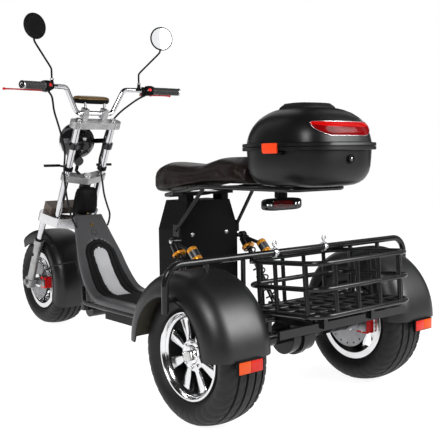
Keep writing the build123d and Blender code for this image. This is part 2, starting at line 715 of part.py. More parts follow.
def mirrors_and_lamps():
    """Mirrors on their stems, the display, the headlight and the front indicators."""
    foot = Vector(*grip_line()[0][-2]) + Vector(0, 22, BAR_RADIUS + TOUCH_GAP)
    head = Vector(MIRROR_X, MIRROR_SPREAD, MIRROR_HEIGHT)
    base = Pos(*foot) * Cylinder(
        MIRROR_FOOT_RADIUS, MIRROR_FOOT_HEIGHT, align=(Align.CENTER, Align.CENTER, Align.MIN))
    start = foot + Vector(0, 0, MIRROR_FOOT_HEIGHT)
    stem = tube([
        tuple(start), tuple(start + Vector(0, 2, 40)), tuple(start + Vector(6, 46, 130)),
        tuple(head + Vector(14, -4, -40)), tuple(head + Vector(14, 0, -6))],
        MIRROR_STEM_RADIUS, MIRROR_STEM_BEND)
    face = Plane(origin=head, z_dir=MIRROR_FACING)
    shell = face * extrude(Circle(MIRROR_RADIUS), -MIRROR_THICKNESS)
    add("mirrors", both_sides(base + stem + shell))
    glass = face * (Pos(0, 0, TOUCH_GAP) * extrude(Circle(MIRROR_RADIUS - 4), 2))
    add("mirror_glasses", both_sides(glass))

    tilt = Rot(0, DISPLAY_TILT, 0)
    display_height = fork_point(BAR_AHEAD, 0, BAR_UP)[2] + DISPLAY_RISE
    disc = extrude(SlotOverall(DISPLAY_LENGTH, DISPLAY_WIDTH, rotation=90), DISPLAY_THICKNESS)
    disc = fillet(disc.edges().group_by(Axis.Z)[-1], DISPLAY_EDGE)
    disc = fillet(disc.edges().group_by(Axis.Z)[0], DISPLAY_EDGE)
    display = Pos(DISPLAY_X, 0, display_height) * tilt * disc
    for s in (1, -1):
        post = Pos(DISPLAY_POST_X, s * RISER_SPREAD, display_height) * Cylinder(
            DISPLAY_POST_RADIUS, DISPLAY_POST_DROP, align=(Align.CENTER, Align.CENTER, Align.MAX))
        display += post - on_fork(riser(s, TOUCH_GAP))
    add("display", display)

    bowl = Circle(HEADLIGHT_RADIUS)
    front = Plane(origin=(HEADLIGHT_BACK + HEADLIGHT_DEPTH, 0, HEADLIGHT_HEIGHT), z_dir=(1, 0, 0))
    drum = front * extrude(bowl, -(HEADLIGHT_DEPTH - HEADLIGHT_CONE))
    cone_front = HEADLIGHT_BACK + HEADLIGHT_CONE
    back_face = Plane(origin=(cone_front, 0, HEADLIGHT_HEIGHT), z_dir=(-1, 0, 0))
    cone = back_face * loft([bowl, Pos(0, 0, HEADLIGHT_CONE) * Circle(HEADLIGHT_BACK_RADIUS)])
    housing = drum + cone
    glass = extrude(Circle(HEADLIGHT_RADIUS - HEADLIGHT_LENS_INSET), HEADLIGHT_LENS_THICKNESS)
    add("headlight_lens", front * (Pos(0, 0, TOUCH_GAP) * glass))
    # ears from the upper tubes to the headlight
    ear_z = HEADLIGHT_HEIGHT
    tube_x = fork_point(-UPPER_TUBE_SETBACK, 0, (ear_z - WHEEL_RADIUS + 23) / cos(radians(RAKE)))[0]
    ear = box_between(
        (tube_x - 12, HEADLIGHT_BACK + EAR_REACH), (HEADLIGHT_RADIUS - 2, TUBE_SPREAD),
        (ear_z - EAR_HALF, ear_z + EAR_HALF))

    def on_upper_tube(radius, bottom, top):
        return on_fork(fork_bar(radius, -UPPER_TUBE_SETBACK, TUBE_SPREAD, bottom, top))
    bore = on_upper_tube(UPPER_TUBE_RADIUS + CLAMP_GAP, YOKE_TOP, CROWN_TOP)
    ring = on_upper_tube(UPPER_TUBE_RADIUS + TUBE_CLAMP_STEP, *HEADLIGHT_CLAMP_UP)
    ear = (ear + ring) - bore
    add("headlight", housing + ear + mirrored(ear))
    foot = BRIDGE_TOP + TOUCH_GAP
    plate = box_between((-STEM_SETBACK + 20, HORN_AHEAD), HORN_PLATE_SIDES, (foot, BRIDGE_TOP + 4))
    plate += box_between((HORN_AHEAD - 4, HORN_AHEAD), HORN_PLATE_SIDES, (foot, HORN_UP))
    can = Rot(0, 90, 0) * Cylinder(HORN_RADIUS, HORN_DEPTH)
    can = Pos(HORN_AHEAD, sum(HORN_PLATE_SIDES) / 2, HORN_UP) * can
    add("horn", on_fork(plate + can))

    stalk_up = sum(INDICATOR_CLAMP_UP) / 2 - 1
    stalk_from = fork_point(-UPPER_TUBE_SETBACK + 18, TUBE_SPREAD, stalk_up)
    stalk = tube([stalk_from, (INDICATOR_X, INDICATOR_FROM, INDICATOR_HEIGHT)], 5)
    lamp = box_between(
        (INDICATOR_X - 12, INDICATOR_X + 12), (INDICATOR_FROM - 4, INDICATOR_TO),
        (INDICATOR_HEIGHT - 6, INDICATOR_HEIGHT + 6))
    clamp = on_upper_tube(UPPER_TUBE_RADIUS + TUBE_CLAMP_STEP, *INDICATOR_CLAMP_UP)
    lamp = lamp + stalk + clamp - bore
    add("indicators", both_sides(lamp))


# ---------------------------------------------------------------- frame, floor and bodywork
def shield_line(offset):
    """The leg shield and floor seen from the side: corner points at this depth below the surface."""
    return [
        (SHIELD_TOP_X + offset * 0.85, SHIELD_TOP_HEIGHT - offset * 0.5),
        (SHIELD_KNEE_X + offset * 1.1, FLOOR_TOP + SHIELD_KNEE_RISE - offset * 0.5),
        (SHIELD_KNEE_X - SHIELD_TOE + offset * 0.5, FLOOR_TOP - offset),
        (FLOOR_REAR, FLOOR_TOP - offset),
    ]


def shield_band(top_offset, bottom_offset, half_width):
    """A sheet that follows the shield and floor between two depths."""
    upper = shield_line(top_offset)
    lower = shield_line(bottom_offset)
    outline = Plane.XZ * make_face(Polyline(*upper, *reversed(lower), close=True))
    return extrude(outline, half_width, both=True)


def shield_plan():
    """What the shield and floor cover seen from the front: narrow at the neck, full at the floor."""
    left = [
        (FLOOR_HALF_WIDTH, 0), (FLOOR_HALF_WIDTH, FLOOR_TOP),
        (SHIELD_LOW_HALF, FLOOR_TOP + SHIELD_LOW_RISE), (SHIELD_TOP_HALF, SHIELD_TOP_HEIGHT),
        (SHIELD_TOP_HALF, SHIELD_TOP_HEIGHT + 40),
    ]
    points = left + [(-y, z) for y, z in reversed(left)]
    return extrude(Plane.YZ * make_face(Polyline(*points, close=True)), WHEELBASE)


def footboard():
    board = shield_band(0, SHIELD_THICKNESS, FLOOR_HALF_WIDTH) & shield_plan()
    add("footboard", board)
    mat = shield_band(-MAT_THICKNESS - TOUCH_GAP, -TOUCH_GAP, MAT_HALF_WIDTH)
    window = shield_band(-30, 0, INSERT_HALF_WIDTH + 1)
    across = (-FLOOR_HALF_WIDTH, FLOOR_HALF_WIDTH)
    mat = mat & box_between((0, WHEELBASE), across, (0, MAT_TOP_HEIGHT))
    window = window & box_between((INSERT_REAR, WHEELBASE), across, (0, INSERT_TOP_HEIGHT))
    add("foot_mat", mat - window)
    plate = shield_band(-INSERT_THICKNESS - TOUCH_GAP, -TOUCH_GAP, INSERT_HALF_WIDTH)
    plate = plate & box_between(
        (INSERT_REAR + 1, WHEELBASE), across, (0, INSERT_TOP_HEIGHT - 1))
    add("foot_insert", plate)


def down_tube(radius):
    """The tube from the head tube down to the belly tube."""
    start = fork_point(-STEM_SETBACK, 0, DOWN_TUBE_TOP)
    knee = (DOWN_TUBE_X, 0, DOWN_TUBE_KNEE)
    return tube([start, knee, (BELLY_X, 0, BELLY_HEIGHT)], radius, DOWN_TUBE_BEND)


def main_frame():
    """Head tube, down tube, belly tube, floor rails and cross members, welded into one piece."""
    head = fork_bar(HEAD_TUBE_RADIUS, -STEM_SETBACK, 0,
                    YOKE_TOP + HEAD_TUBE_END_GAP, BRIDGE_BOTTOM - HEAD_TUBE_END_GAP)
    bore = fork_bar(STEM_RADIUS + AXLE_RUNNING_GAP, -STEM_SETBACK, 0, YOKE_TOP - 10, BRIDGE_TOP)
    frame = on_fork(head) + down_tube(DOWN_TUBE_RADIUS)
    frame += cylinder_y(BELLY_RADIUS, -BELLY_HALF_WIDTH, BELLY_HALF_WIDTH, BELLY_X, BELLY_HEIGHT)
    for s in (1, -1):
        side = s * RAIL_HALF_WIDTH
        frame += tube([
            (PIVOT_X, side, RAIL_HEIGHT), (BELLY_X - 20, side, RAIL_HEIGHT),
            (BELLY_X + 26, side - s * 24, RAIL_HEIGHT + 62)], RAIL_RADIUS, RAIL_BEND)
        frame += box_between(
            (BELLY_X - 12, BELLY_X + 12), sorted((s * (BELLY_HALF_WIDTH - 2), side)),
            (BELLY_HEIGHT, RAIL_HEIGHT))
    for x in CROSS_MEMBERS:
        frame += cylinder_y(CROSS_RADIUS, -RAIL_HALF_WIDTH, RAIL_HALF_WIDTH, x, RAIL_HEIGHT)
    frame += cylinder_y(PIVOT_RADIUS, -PIVOT_HALF_WIDTH, PIVOT_HALF_WIDTH, PIVOT_X, RAIL_HEIGHT)
    add("main_frame", frame - on_fork(bore))

    tray = box_between(
        (CROSS_MEMBERS[0] + 60, CROSS_MEMBERS[2] - 30), (-BATTERY_HALF_WIDTH, BATTERY_HALF_WIDTH),
        (BATTERY_BOTTOM, RAIL_HEIGHT - RAIL_RADIUS - TOUCH_GAP))
    pad = CROSS_MEMBERS[1]
    tray += box_between((pad - 10, pad + 10), (-60, 60),
                        (RAIL_HEIGHT - RAIL_RADIUS - 1, RAIL_HEIGHT - CROSS_RADIUS - TOUCH_GAP))
    add("battery_tray", tray)


def seat_pillar():
    """The housing that carries the seat: flat sides, narrowing towards two posts."""
    low = FLOOR_TOP - SHIELD_THICKNESS - RAIL_RADIUS + PIVOT_RADIUS
    outline = Polyline(
        (-PILLAR_HALF_WIDTH, low), (PILLAR_HALF_WIDTH, low), (PILLAR_HALF_WIDTH, PILLAR_WAIST),
        (PILLAR_TOP_HALF, PILLAR_TOP), (-PILLAR_TOP_HALF, PILLAR_TOP),
        (-PILLAR_HALF_WIDTH, PILLAR_WAIST), close=True)
    body = Pos(PILLAR_REAR, 0, 0) * extrude(Plane.YZ * make_face(outline), PILLAR_DEPTH)
    for s in (1, -1):
        across = sorted((s * (PILLAR_TOP_HALF - PILLAR_POST_WIDTH), s * PILLAR_TOP_HALF))
        along = (PILLAR_REAR + PILLAR_POSTS[0], PILLAR_REAR + PILLAR_POSTS[1])
        body += box_between(along, across, (PILLAR_TOP - 1, SEAT_PLATE_HEIGHT))
    add("seat_pillar", body)


def rack():
    """The seat frame and rear rack: one rounded loop of tube, cross bars and two struts."""
    z = RACK_HEIGHT
    half = tube([
        (RACK_REAR, 0, z), (RACK_REAR, RACK_HALF_WIDTH, z), (RACK_KNEE, RACK_HALF_WIDTH, z),
        (RACK_FRONT, RACK_HALF_WIDTH - RACK_FRONT_INSET, RACK_FRONT_HEIGHT),
        (RACK_FRONT, 0, RACK_FRONT_HEIGHT)],
        RACK_TUBE_RADIUS, RACK_BEND)
    frame = half + mirrored(half)
    for x in RACK_BARS:
        frame += cylinder_y(RACK_TUBE_RADIUS - 1, -RACK_HALF_WIDTH, RACK_HALF_WIDTH, x, z)
    foot_face = PILLAR_HALF_WIDTH + TOUCH_GAP
    foot = (STRUT_FOOT_X, foot_face + STRUT_PAD[1], STRUT_FOOT_HEIGHT)
    strut = tube([(STRUT_TOP_X, RACK_HALF_WIDTH, z), foot], STRUT_RADIUS)
    strut += Pos(STRUT_FOOT_X, foot_face + STRUT_PAD[1] / 2, STRUT_FOOT_HEIGHT) * Box(*STRUT_PAD)
    frame += strut + mirrored(strut)
    plate = box_between(
        (PILLAR_REAR + SEAT_PLATE_SPAN[0], PILLAR_REAR + SEAT_PLATE_SPAN[1]),
        (-RACK_HALF_WIDTH, RACK_HALF_WIDTH),
        (SEAT_PLATE_HEIGHT + TOUCH_GAP, SEAT_PLATE_HEIGHT + SEAT_PLATE_THICKNESS))
    lamp_bar = RACK_BARS[1]
    bracket = box_between(
        (lamp_bar - 9, lamp_bar + 9), (-TAIL_LAMP_BRACKET_HALF, TAIL_LAMP_BRACKET_HALF),
        (TAIL_LAMP_TOP + TOUCH_GAP, z))
    add("seat_rack", frame + plate + bracket)


def seat():
    """The saddle: a plain closed cushion with a raised back half."""
    base = RACK_HEIGHT + RACK_TUBE_RADIUS + TOUCH_GAP
    nose_base = RACK_FRONT_HEIGHT + RACK_TUBE_RADIUS + TOUCH_GAP
    top_line = [(x, RACK_HEIGHT + rise) for x, rise in SEAT_TOP_LINE]
    profile = Polyline(
        (SEAT_REAR, base), (RACK_KNEE + 6, base), (RACK_FRONT + 6, nose_base),
        (SEAT_NOSE - 34, nose_base), (SEAT_NOSE, nose_base + 36), *top_line, close=True)
    body = extrude(Plane.XZ * make_face(profile), SEAT_HALF_WIDTH, both=True)
    add("seat", body)


def case():
    """The top case: an open base, a hollow lid, flanges all round, hinge, lock, pad and lamps."""
    half = CASE_SIZE / 2
    outer = RectangleRounded(CASE_SIZE, CASE_SIZE, CASE_CORNER)
    inner = RectangleRounded(CASE_SIZE - 2 * CASE_WALL, CASE_SIZE - 2 * CASE_WALL, CASE_CORNER - CASE_WALL)
    flange_size = CASE_SIZE + 2 * CASE_FLANGE
    flange_face = RectangleRounded(flange_size, flange_size, CASE_CORNER + CASE_FLANGE)

    def bowl(face, depth, rounding):
        solid = extrude(face, depth)
        return fillet(solid.edges().group_by(Axis.Z)[-1], rounding)

    hollow = bowl(inner, CASE_BASE_DEPTH - CASE_WALL, CASE_BOTTOM_ROUND - CASE_WALL)
    base = bowl(outer, CASE_BASE_DEPTH, CASE_BOTTOM_ROUND) - hollow
    base += extrude(flange_face - inner, CASE_FLANGE_HEIGHT)
    base = Pos(CASE_CENTRE, 0, CASE_SPLIT) * mirror(base, about=Plane.XY)

    height = CASE_LID_TOP - CASE_SPLIT - CASE_LID_GAP
    hollow = bowl(inner, height - CASE_WALL, CASE_LID_ROUND - CASE_WALL)
    lid = bowl(outer, height, CASE_LID_ROUND) - hollow
    lid += extrude(flange_face - inner, CASE_FLANGE_HEIGHT)
    lid = Pos(CASE_CENTRE, 0, CASE_SPLIT + CASE_LID_GAP) * lid

    hinge_x = CASE_CENTRE + half + CASE_FLANGE + HINGE_RADIUS + 1
    strap_x = hinge_x - HINGE_RADIUS - HINGE_STRAP
    below = (CASE_SPLIT - HINGE_RADIUS, CASE_SPLIT - 1)
    above = (CASE_SPLIT + 1, CASE_SPLIT + HINGE_RADIUS)
    cut_base = (HINGE_LID_SPAN[0] - 1, HINGE_BASE_SPAN[0] - HINGE_GAP)
    cut_lid = (HINGE_BASE_SPAN[0] - HINGE_GAP, HINGE_BASE_SPAN[1] + 1)

    def knuckle(s, span, grow=0):
        return cylinder_y(HINGE_RADIUS + grow, s * span[0], s * span[1], hinge_x, CASE_SPLIT)

    def strap(s, span, heights, x_from):
        return box_between((x_from, hinge_x), sorted((s * span[0], s * span[1])), heights)
    for s in (1, -1):
        base += knuckle(s, HINGE_BASE_SPAN) + strap(s, HINGE_BASE_SPAN, below, strap_x)
        lid += knuckle(s, HINGE_LID_SPAN) + strap(s, HINGE_LID_SPAN, above, strap_x)
        lid -= knuckle(s, cut_lid, HINGE_GAP)
        base -= knuckle(s, cut_base, HINGE_GAP)
        lid -= strap(s, cut_lid, (below[0], CASE_SPLIT + HINGE_GAP), strap_x - 1)
    pin_radius = HINGE_PIN_RADIUS + AXLE_RUNNING_GAP
    pin_bore = cylinder_y(pin_radius, -cut_lid[1], cut_lid[1], hinge_x, CASE_SPLIT)
    pins = [cylinder_y(HINGE_PIN_RADIUS, s * HINGE_LID_SPAN[0], s * HINGE_BASE_SPAN[1], hinge_x, CASE_SPLIT)
            for s in (1, -1)]
    add("case_base", Compound([base - pin_bore, *pins]))
    add("case_lid", lid - pin_bore)

    def grown(by):
        size = CASE_SIZE + 2 * by
        face = RectangleRounded(size, size, CASE_CORNER + by)
        shape = bowl(face, height + by, CASE_LID_ROUND + by)
        return Pos(CASE_CENTRE, 0, CASE_SPLIT + CASE_LID_GAP) * shape
    rear = CASE_CENTRE - half
    lens_heights = (CASE_SPLIT + LID_LENS_RISE[0], CASE_SPLIT + LID_LENS_RISE[1])
    lens = grown(LID_LENS_THICKNESS) - grown(TOUCH_GAP)
    lens = lens & box_between(
        (rear - 20, rear + 74), (-LID_LENS_HALF_WIDTH, LID_LENS_HALF_WIDTH), lens_heights)
    add("case_lens", lens)
    pad_z = CASE_LID_TOP + TOUCH_GAP
    pad = extrude(RectangleRounded(PAD_LENGTH, PAD_WIDTH, PAD_ROUND), PAD_THICKNESS)
    add("case_pad", Pos(CASE_CENTRE + PAD_AHEAD, 0, pad_z) * pad)
    side = half + CASE_FLANGE + TOUCH_GAP
    clip = box_between(
        (CLIP_X - CLIP_LENGTH / 2, CLIP_X + CLIP_LENGTH / 2), (side, side + CLIP_THICKNESS),
        (CASE_SPLIT - CLIP_DROP, CASE_SPLIT + CASE_FLANGE_HEIGHT))
    lock = Pos(rear - TOUCH_GAP, 0, CASE_SPLIT - LOCK_DROP) * Rot(0, -90, 0) * Cylinder(
        LOCK_RADIUS, CLIP_THICKNESS, align=(Align.CENTER, Align.CENTER, Align.MIN))
    add("case_latches", Compound([clip, mirrored(clip), lock]))


def rear_axle():
    """Swing arm, axle tube and drive housing in one piece, and the axle shaft with its nuts."""
    tube_end = REAR_TRACK_HALF - HUB_REACH - 4
    beam = cylinder_y(AXLE_TUBE_RADIUS, -tube_end, tube_end, 0, WHEEL_RADIUS)
    beam += cylinder_y(DRIVE_RADIUS, -DRIVE_HALF_WIDTH, DRIVE_HALF_WIDTH, -10, WHEEL_RADIUS - 2)
    beam += cylinder_y(DRIVE_RADIUS + 8, -10, 10, -10, WHEEL_RADIUS - 2)
    for s in (1, -1):
        side = s * SWING_ARM_SIDE
        across = sorted((side - SWING_ARM_HALF_WIDTH, side + SWING_ARM_HALF_WIDTH))
        outline = Polyline(
            (-20, WHEEL_RADIUS - 20), (-20, WHEEL_RADIUS + 20),
            (SHOCK_FOOT_X, WHEEL_RADIUS + SWING_ARM_HALF_HEIGHT),
            (PIVOT_X + 18, RAIL_HEIGHT + 18), (PIVOT_X + 18, RAIL_HEIGHT - 18),
            (SHOCK_FOOT_X, WHEEL_RADIUS - SWING_ARM_HALF_HEIGHT), close=True)
        arm = extrude(Plane.XZ * make_face(outline), 2 * SWING_ARM_HALF_WIDTH)
        beam += Pos(0, across[1], 0) * arm
        beam -= cylinder_y(PIVOT_RADIUS + CLAMP_GAP, side - 20, side + 20, PIVOT_X, RAIL_HEIGHT)
    bore = cylinder_y(AXLE_RADIUS + CLAMP_GAP, -tube_end - 1, tube_end + 1, 0, WHEEL_RADIUS)
    add("rear_axle_beam", beam - bore)

    hub_face = REAR_TRACK_HALF + REAR_WEB_OUT + WEB_THICKNESS + HUB_PROUD
    shaft = cylinder_y(AXLE_RADIUS, -hub_face - 14, hub_face + 14, 0, WHEEL_RADIUS)
    half_nut = REAR_NUT_THICKNESS / 2
    nut = Rot(90, 0, 0) * extrude(RegularPolygon(REAR_NUT_RADIUS, 6), half_nut, both=True)
    nut = Pos(0, hub_face + 3 + half_nut, WHEEL_RADIUS) * nut
    add("axle_rear", shaft + nut + mirrored(nut))


def shocks():
    """Two leaning coil-over shocks with piggyback reservoirs."""
    top = Vector(SHOCK_TOP_X, SHOCK_SIDE, SHOCK_TOP_HEIGHT)
    foot_height = WHEEL_RADIUS + SWING_ARM_HALF_HEIGHT + TOUCH_GAP + SHOCK_FOOT_EYE_RADIUS
    foot = Vector(SHOCK_FOOT_X, SHOCK_SIDE, foot_height)
    along = (foot - top).normalized()
    length = (foot - top).length

    def on_shock(distance):
        return Plane(origin=top + along * distance, x_dir=(0, 1, 0), z_dir=along)

    eye = (SHOCK_SIDE - SHOCK_EYE_HALF, SHOCK_SIDE + SHOCK_EYE_HALF)
    rod = on_shock(10) * extrude(Circle(SHOCK_ROD_RADIUS), length - 20)
    eye_top = cylinder_y(SHOCK_EYE_RADIUS, *eye, top.X, top.Z)
    eye_foot = cylinder_y(SHOCK_FOOT_EYE_RADIUS, *eye, foot.X, foot.Z)
    head = on_shock(SHOCK_EYE_RADIUS) * extrude(
        Circle(SHOCK_HEAD_RADIUS), SHOCK_HEAD_END - SHOCK_EYE_RADIUS)
    spring_to = length - SHOCK_CUP_END
    cup = on_shock(spring_to) * extrude(Circle(SPRING_RADIUS), SHOCK_CUP_THICKNESS)
    collar_from = SHOCK_HEAD_END + TOUCH_GAP
    collar_face = Circle(SHOCK_COLLAR_RADIUS) - Circle(SHOCK_ROD_RADIUS + CLAMP_GAP)
    collar = on_shock(collar_from) * extrude(collar_face, SHOCK_COLLAR_END - TOUCH_GAP - collar_from)
    spring_face = Circle(SPRING_RADIUS) - Circle(SPRING_INNER_RADIUS)
    spring = on_shock(SHOCK_COLLAR_END) * extrude(spring_face, spring_to - SHOCK_COLLAR_END - TOUCH_GAP)
    can_top = Vector(RESERVOIR_TOP[0], SHOCK_SIDE, RESERVOIR_TOP[1])
    can_foot = Vector(RESERVOIR_FOOT[0], SHOCK_SIDE, RESERVOIR_FOOT[1])
    can_plane = Plane(origin=can_top, z_dir=can_foot - can_top)
    can_length = (can_foot - can_top).length
    can = can_plane * extrude(Circle(RESERVOIR_RADIUS), can_length)
    link = tube([top + along * 8, can_top + (can_foot - can_top) * 0.25], RESERVOIR_LINK_RADIUS)
    link -= can_plane * extrude(Circle(RESERVOIR_RADIUS + CLAMP_GAP), can_length)
    body = rod + eye_top + eye_foot + head + cup + link
    mount = cylinder_y(
        SHOCK_MOUNT_RADIUS, PILLAR_HALF_WIDTH + TOUCH_GAP, SHOCK_SIDE, top.X, top.Z)
    add("shock_bodies", both_sides(body + mount))
    add("shock_springs", both_sides(spring))
    add("shock_reservoirs", Compound([can, mirrored(can), collar, mirrored(collar)]))


def rounded_loop(front, rear, half_width, height, corner, radius):
    """A level loop of tube with rounded corners."""
    middle = Pos((front + rear) / 2, 0, height)
    path = middle * RectangleRounded(front - rear, 2 * half_width, corner).wire()
    start = Plane(origin=path @ 0, z_dir=path % 0)
    return sweep(start * Circle(radius), path=path)


def basket():
    """The wire cargo basket: three loops, posts, floor bars, and two clamps round the hoop."""
    r = BASKET_TUBE_RADIUS
    top = HOOP_HEIGHT - HOOP_RADIUS - TOUCH_GAP - r
    heights = (BASKET_BOTTOM, BASKET_MIDDLE, top)
    body = None
    for z in heights:
        loop = rounded_loop(BASKET_FRONT, BASKET_REAR, BASKET_HALF_WIDTH, z, BASKET_CORNER, r)
        body = loop if body is None else body + loop
    posts = [(x, s * BASKET_HALF_WIDTH) for x in BASKET_SIDE_POSTS for s in (1, -1)]
    posts += [(x, y) for y in BASKET_END_POSTS for x in (BASKET_FRONT, BASKET_REAR)]
    for x, y in posts:
        body += Pos(x, y, BASKET_BOTTOM) * Cylinder(
            r - 1, top - BASKET_BOTTOM, align=(Align.CENTER, Align.CENTER, Align.MIN))
    floor_bar = Rot(0, 90, 0) * Cylinder(r - 2, BASKET_FRONT - BASKET_REAR)
    for y in BASKET_FLOOR_BARS:
        body += Pos((BASKET_FRONT + BASKET_REAR) / 2, y, BASKET_BOTTOM) * floor_bar
    for x in BASKET_CROSS_BARS:
        body += cylinder_y(r - 1, -BASKET_HALF_WIDTH, BASKET_HALF_WIDTH, x, BASKET_BOTTOM)
    hinge = Pos(HOOP_X, 0, top)
    add("cargo_basket", hinge * Rot(0, BASKET_TILT, 0) * hinge.inverse() * body)


def hoop():
    """The guard tube over the fenders."""
    points = [
        (HOOP_X, 0, HOOP_HEIGHT), (HOOP_X, HOOP_HALF_WIDTH, HOOP_HEIGHT),
        (HOOP_X, HOOP_HALF_WIDTH, HOOP_END_HEIGHT),
    ]
    half = tube(points, HOOP_RADIUS, HOOP_BEND)
    middle = (FENDER_INNER + FENDER_OUTER) / 2
    stay = Pos(HOOP_X, middle, HOOP_HEIGHT) * Cylinder(
        HOOP_STAY_RADIUS, HOOP_HEIGHT - FENDER_CENTRE_HEIGHT, align=(Align.CENTER, Align.CENTER, Align.MAX))
    stay -= cylinder_y(FENDER_RADIUS + TOUCH_GAP, FENDER_INNER, FENDER_OUTER, 0, FENDER_CENTRE_HEIGHT)
    lug = box_between(
        (HOOP_X - 10, HOOP_X + 10), (FENDER_OUTER + TOUCH_GAP, HOOP_HALF_WIDTH), HOOP_LUG_HEIGHTS)
    half = half + stay + lug
    add("fender_hoop", half + mirrored(half))


def carrier():
    """The bars between the rear axle, the basket and the hoop, with the rear cross bar."""
    z = CARRIER_HEIGHT
    low = WHEEL_RADIUS + AXLE_TUBE_RADIUS + TOUCH_GAP
    floor_x = BASKET_CROSS_BARS[-1]
    rise = (HOOP_X - floor_x) * tan(radians(BASKET_TILT))
    top = BASKET_BOTTOM + rise - BASKET_TUBE_RADIUS - TOUCH_GAP
    frame = box_between(
        (CROSSBAR_X - CROSSBAR_HALF_THICKNESS, CROSSBAR_X + CROSSBAR_HALF_THICKNESS),
        (-CROSSBAR_HALF, CROSSBAR_HALF), CROSSBAR_HEIGHTS)
    frame += cylinder_y(UPRIGHT_RADIUS, -UPRIGHT_SIDE, UPRIGHT_SIDE, HOOP_X, z)
    for s in (1, -1):
        side = s * CARRIER_ARM_SIDE
        across = (side - CARRIER_BAR_HALF, side + CARRIER_BAR_HALF)
        frame += box_between((CROSSBAR_X, 16), across, (z - 9, z + 9))
        frame += box_between((-16, 16), across, (low, z))
        frame += box_between((floor_x - 6, CROSSBAR_X + CROSSBAR_HALF_THICKNESS), across, (z, top))
        post_top = HOOP_HEIGHT - HOOP_RADIUS - TOUCH_GAP
        frame += Pos(HOOP_X, s * UPRIGHT_SIDE, z) * Cylinder(
            UPRIGHT_RADIUS, post_top - z, align=(Align.CENTER, Align.CENTER, Align.MIN))
    add("basket_carrier", frame)


def rear_lights():
    """The tail lamp, and a two-colour reflector behind each rear fender."""
    x = TAIL_LAMP_X
    lamp = box_between(
        (x - TAIL_LAMP_HALF_DEPTH, x + TAIL_LAMP_HALF_DEPTH), (-TAIL_LAMP_HALF, TAIL_LAMP_HALF),
        (TAIL_LAMP_TOP - TAIL_LAMP_TALL, TAIL_LAMP_TOP))
    lamp = fillet(lamp.edges().filter_by(Axis.X), TAIL_LAMP_ROUND)
    add("tail_lamp", lamp)
    rear = -FENDER_RADIUS - TOUCH_GAP
    low, high = REFLECTOR_HEIGHTS
    reflector = box_between(
        (rear - REFLECTOR_THICKNESS, rear), REFLECTOR_SPAN,
        (FENDER_CENTRE_HEIGHT + low, FENDER_CENTRE_HEIGHT + high))
    add("reflectors", both_sides(reflector))


def caliper(slot_middle):
    """A caliper behind an axle at the origin, its slot over a disc at the given side."""
    far = DISC_RADIUS + CALIPER_OVER
    tall = CALIPER_HALF_HEIGHT
    block = box_between(
        (-far, -DISC_RADIUS + CALIPER_BITE), (slot_middle - CALIPER_HALF, slot_middle + CALIPER_HALF),
        (-tall, tall))
    half_slot = DISC_THICKNESS / 2 + CALIPER_CLEAR
    slot = box_between(
        (-DISC_RADIUS - CALIPER_CLEAR, 0), (slot_middle - half_slot, slot_middle + half_slot),
        (-tall - 1, tall + 1))
    return block - slot


def calipers():
    rear = caliper(REAR_TRACK_HALF - DISC_SIDE)
    inner = REAR_TRACK_HALF - DISC_SIDE - CALIPER_HALF
    plate_from = inner - CALIPER_PLATE_THICKNESS
    half = CALIPER_PLATE_HALF
    plate = box_between((-DISC_RADIUS - CALIPER_OVER, 0), (plate_from, inner + 0.5), (-half, half))
    plate += cylinder_y(AXLE_TUBE_RADIUS + 9, plate_from, inner)
    plate -= cylinder_y(AXLE_TUBE_RADIUS + CLAMP_GAP, plate_from - 1, inner + 1)
    rear = Pos(0, 0, WHEEL_RADIUS) * (rear + plate)
    add("calipers_rear", both_sides(rear))
    front = caliper(DISC_SIDE)
    outer = DISC_SIDE + CALIPER_HALF
    slider_face = SLIDER_SPREAD - SLIDER_RADIUS - TOUCH_GAP
    plate = box_between((-DISC_RADIUS - CALIPER_OVER, -8), (outer - 0.5, slider_face), (-16, 16))
    plate -= cylinder_y(AXLE_RADIUS + 7, 0, SLIDER_SPREAD)
    add("caliper_front", Pos(WHEELBASE, 0, WHEEL_RADIUS) * (front + plate))


def covers():
    """The cover over the yoke, and the neck cover between the leg shield and the head tube."""
    face = YOKE_BAR_RADIUS + TOUCH_GAP
    across = (-YOKE_COVER_HALF, YOKE_COVER_HALF)
    rise = YOKE_TOP + YOKE_COVER_RISE
    top = box_between((-YOKE_COVER_BACK, face), across, (YOKE_TOP + TOUCH_GAP, rise))
    lip = box_between(
        (face, YOKE_BAR_RADIUS + YOKE_COVER_FRONT), across, (YOKE_BOTTOM + YOKE_COVER_LIP, rise))
    add("yoke_cover", on_fork(top + lip))

    corners = [(SHIELD_TOP_X + x, z) for x, z in NECK_CREST]
    corners += [(SHIELD_TOP_X + x, SHIELD_TOP_HEIGHT + z) for x, z in NECK_FOOT]
    outline = Polyline(*corners, close=True)
    neck = extrude(Plane.XZ * make_face(outline), NECK_HALF_WIDTH, both=True)
    neck -= on_fork(fork_bar(HEAD_TUBE_RADIUS + TOUCH_GAP, -STEM_SETBACK, 0, YOKE_TOP - 50, BRIDGE_TOP))
    neck -= on_fork(box_between((-STEM_SETBACK, 100), (-300, 300), (YOKE_TOP - 50, BRIDGE_TOP)))
    neck -= down_tube(DOWN_TUBE_RADIUS + TOUCH_GAP)
    add("neck_cover", neck)


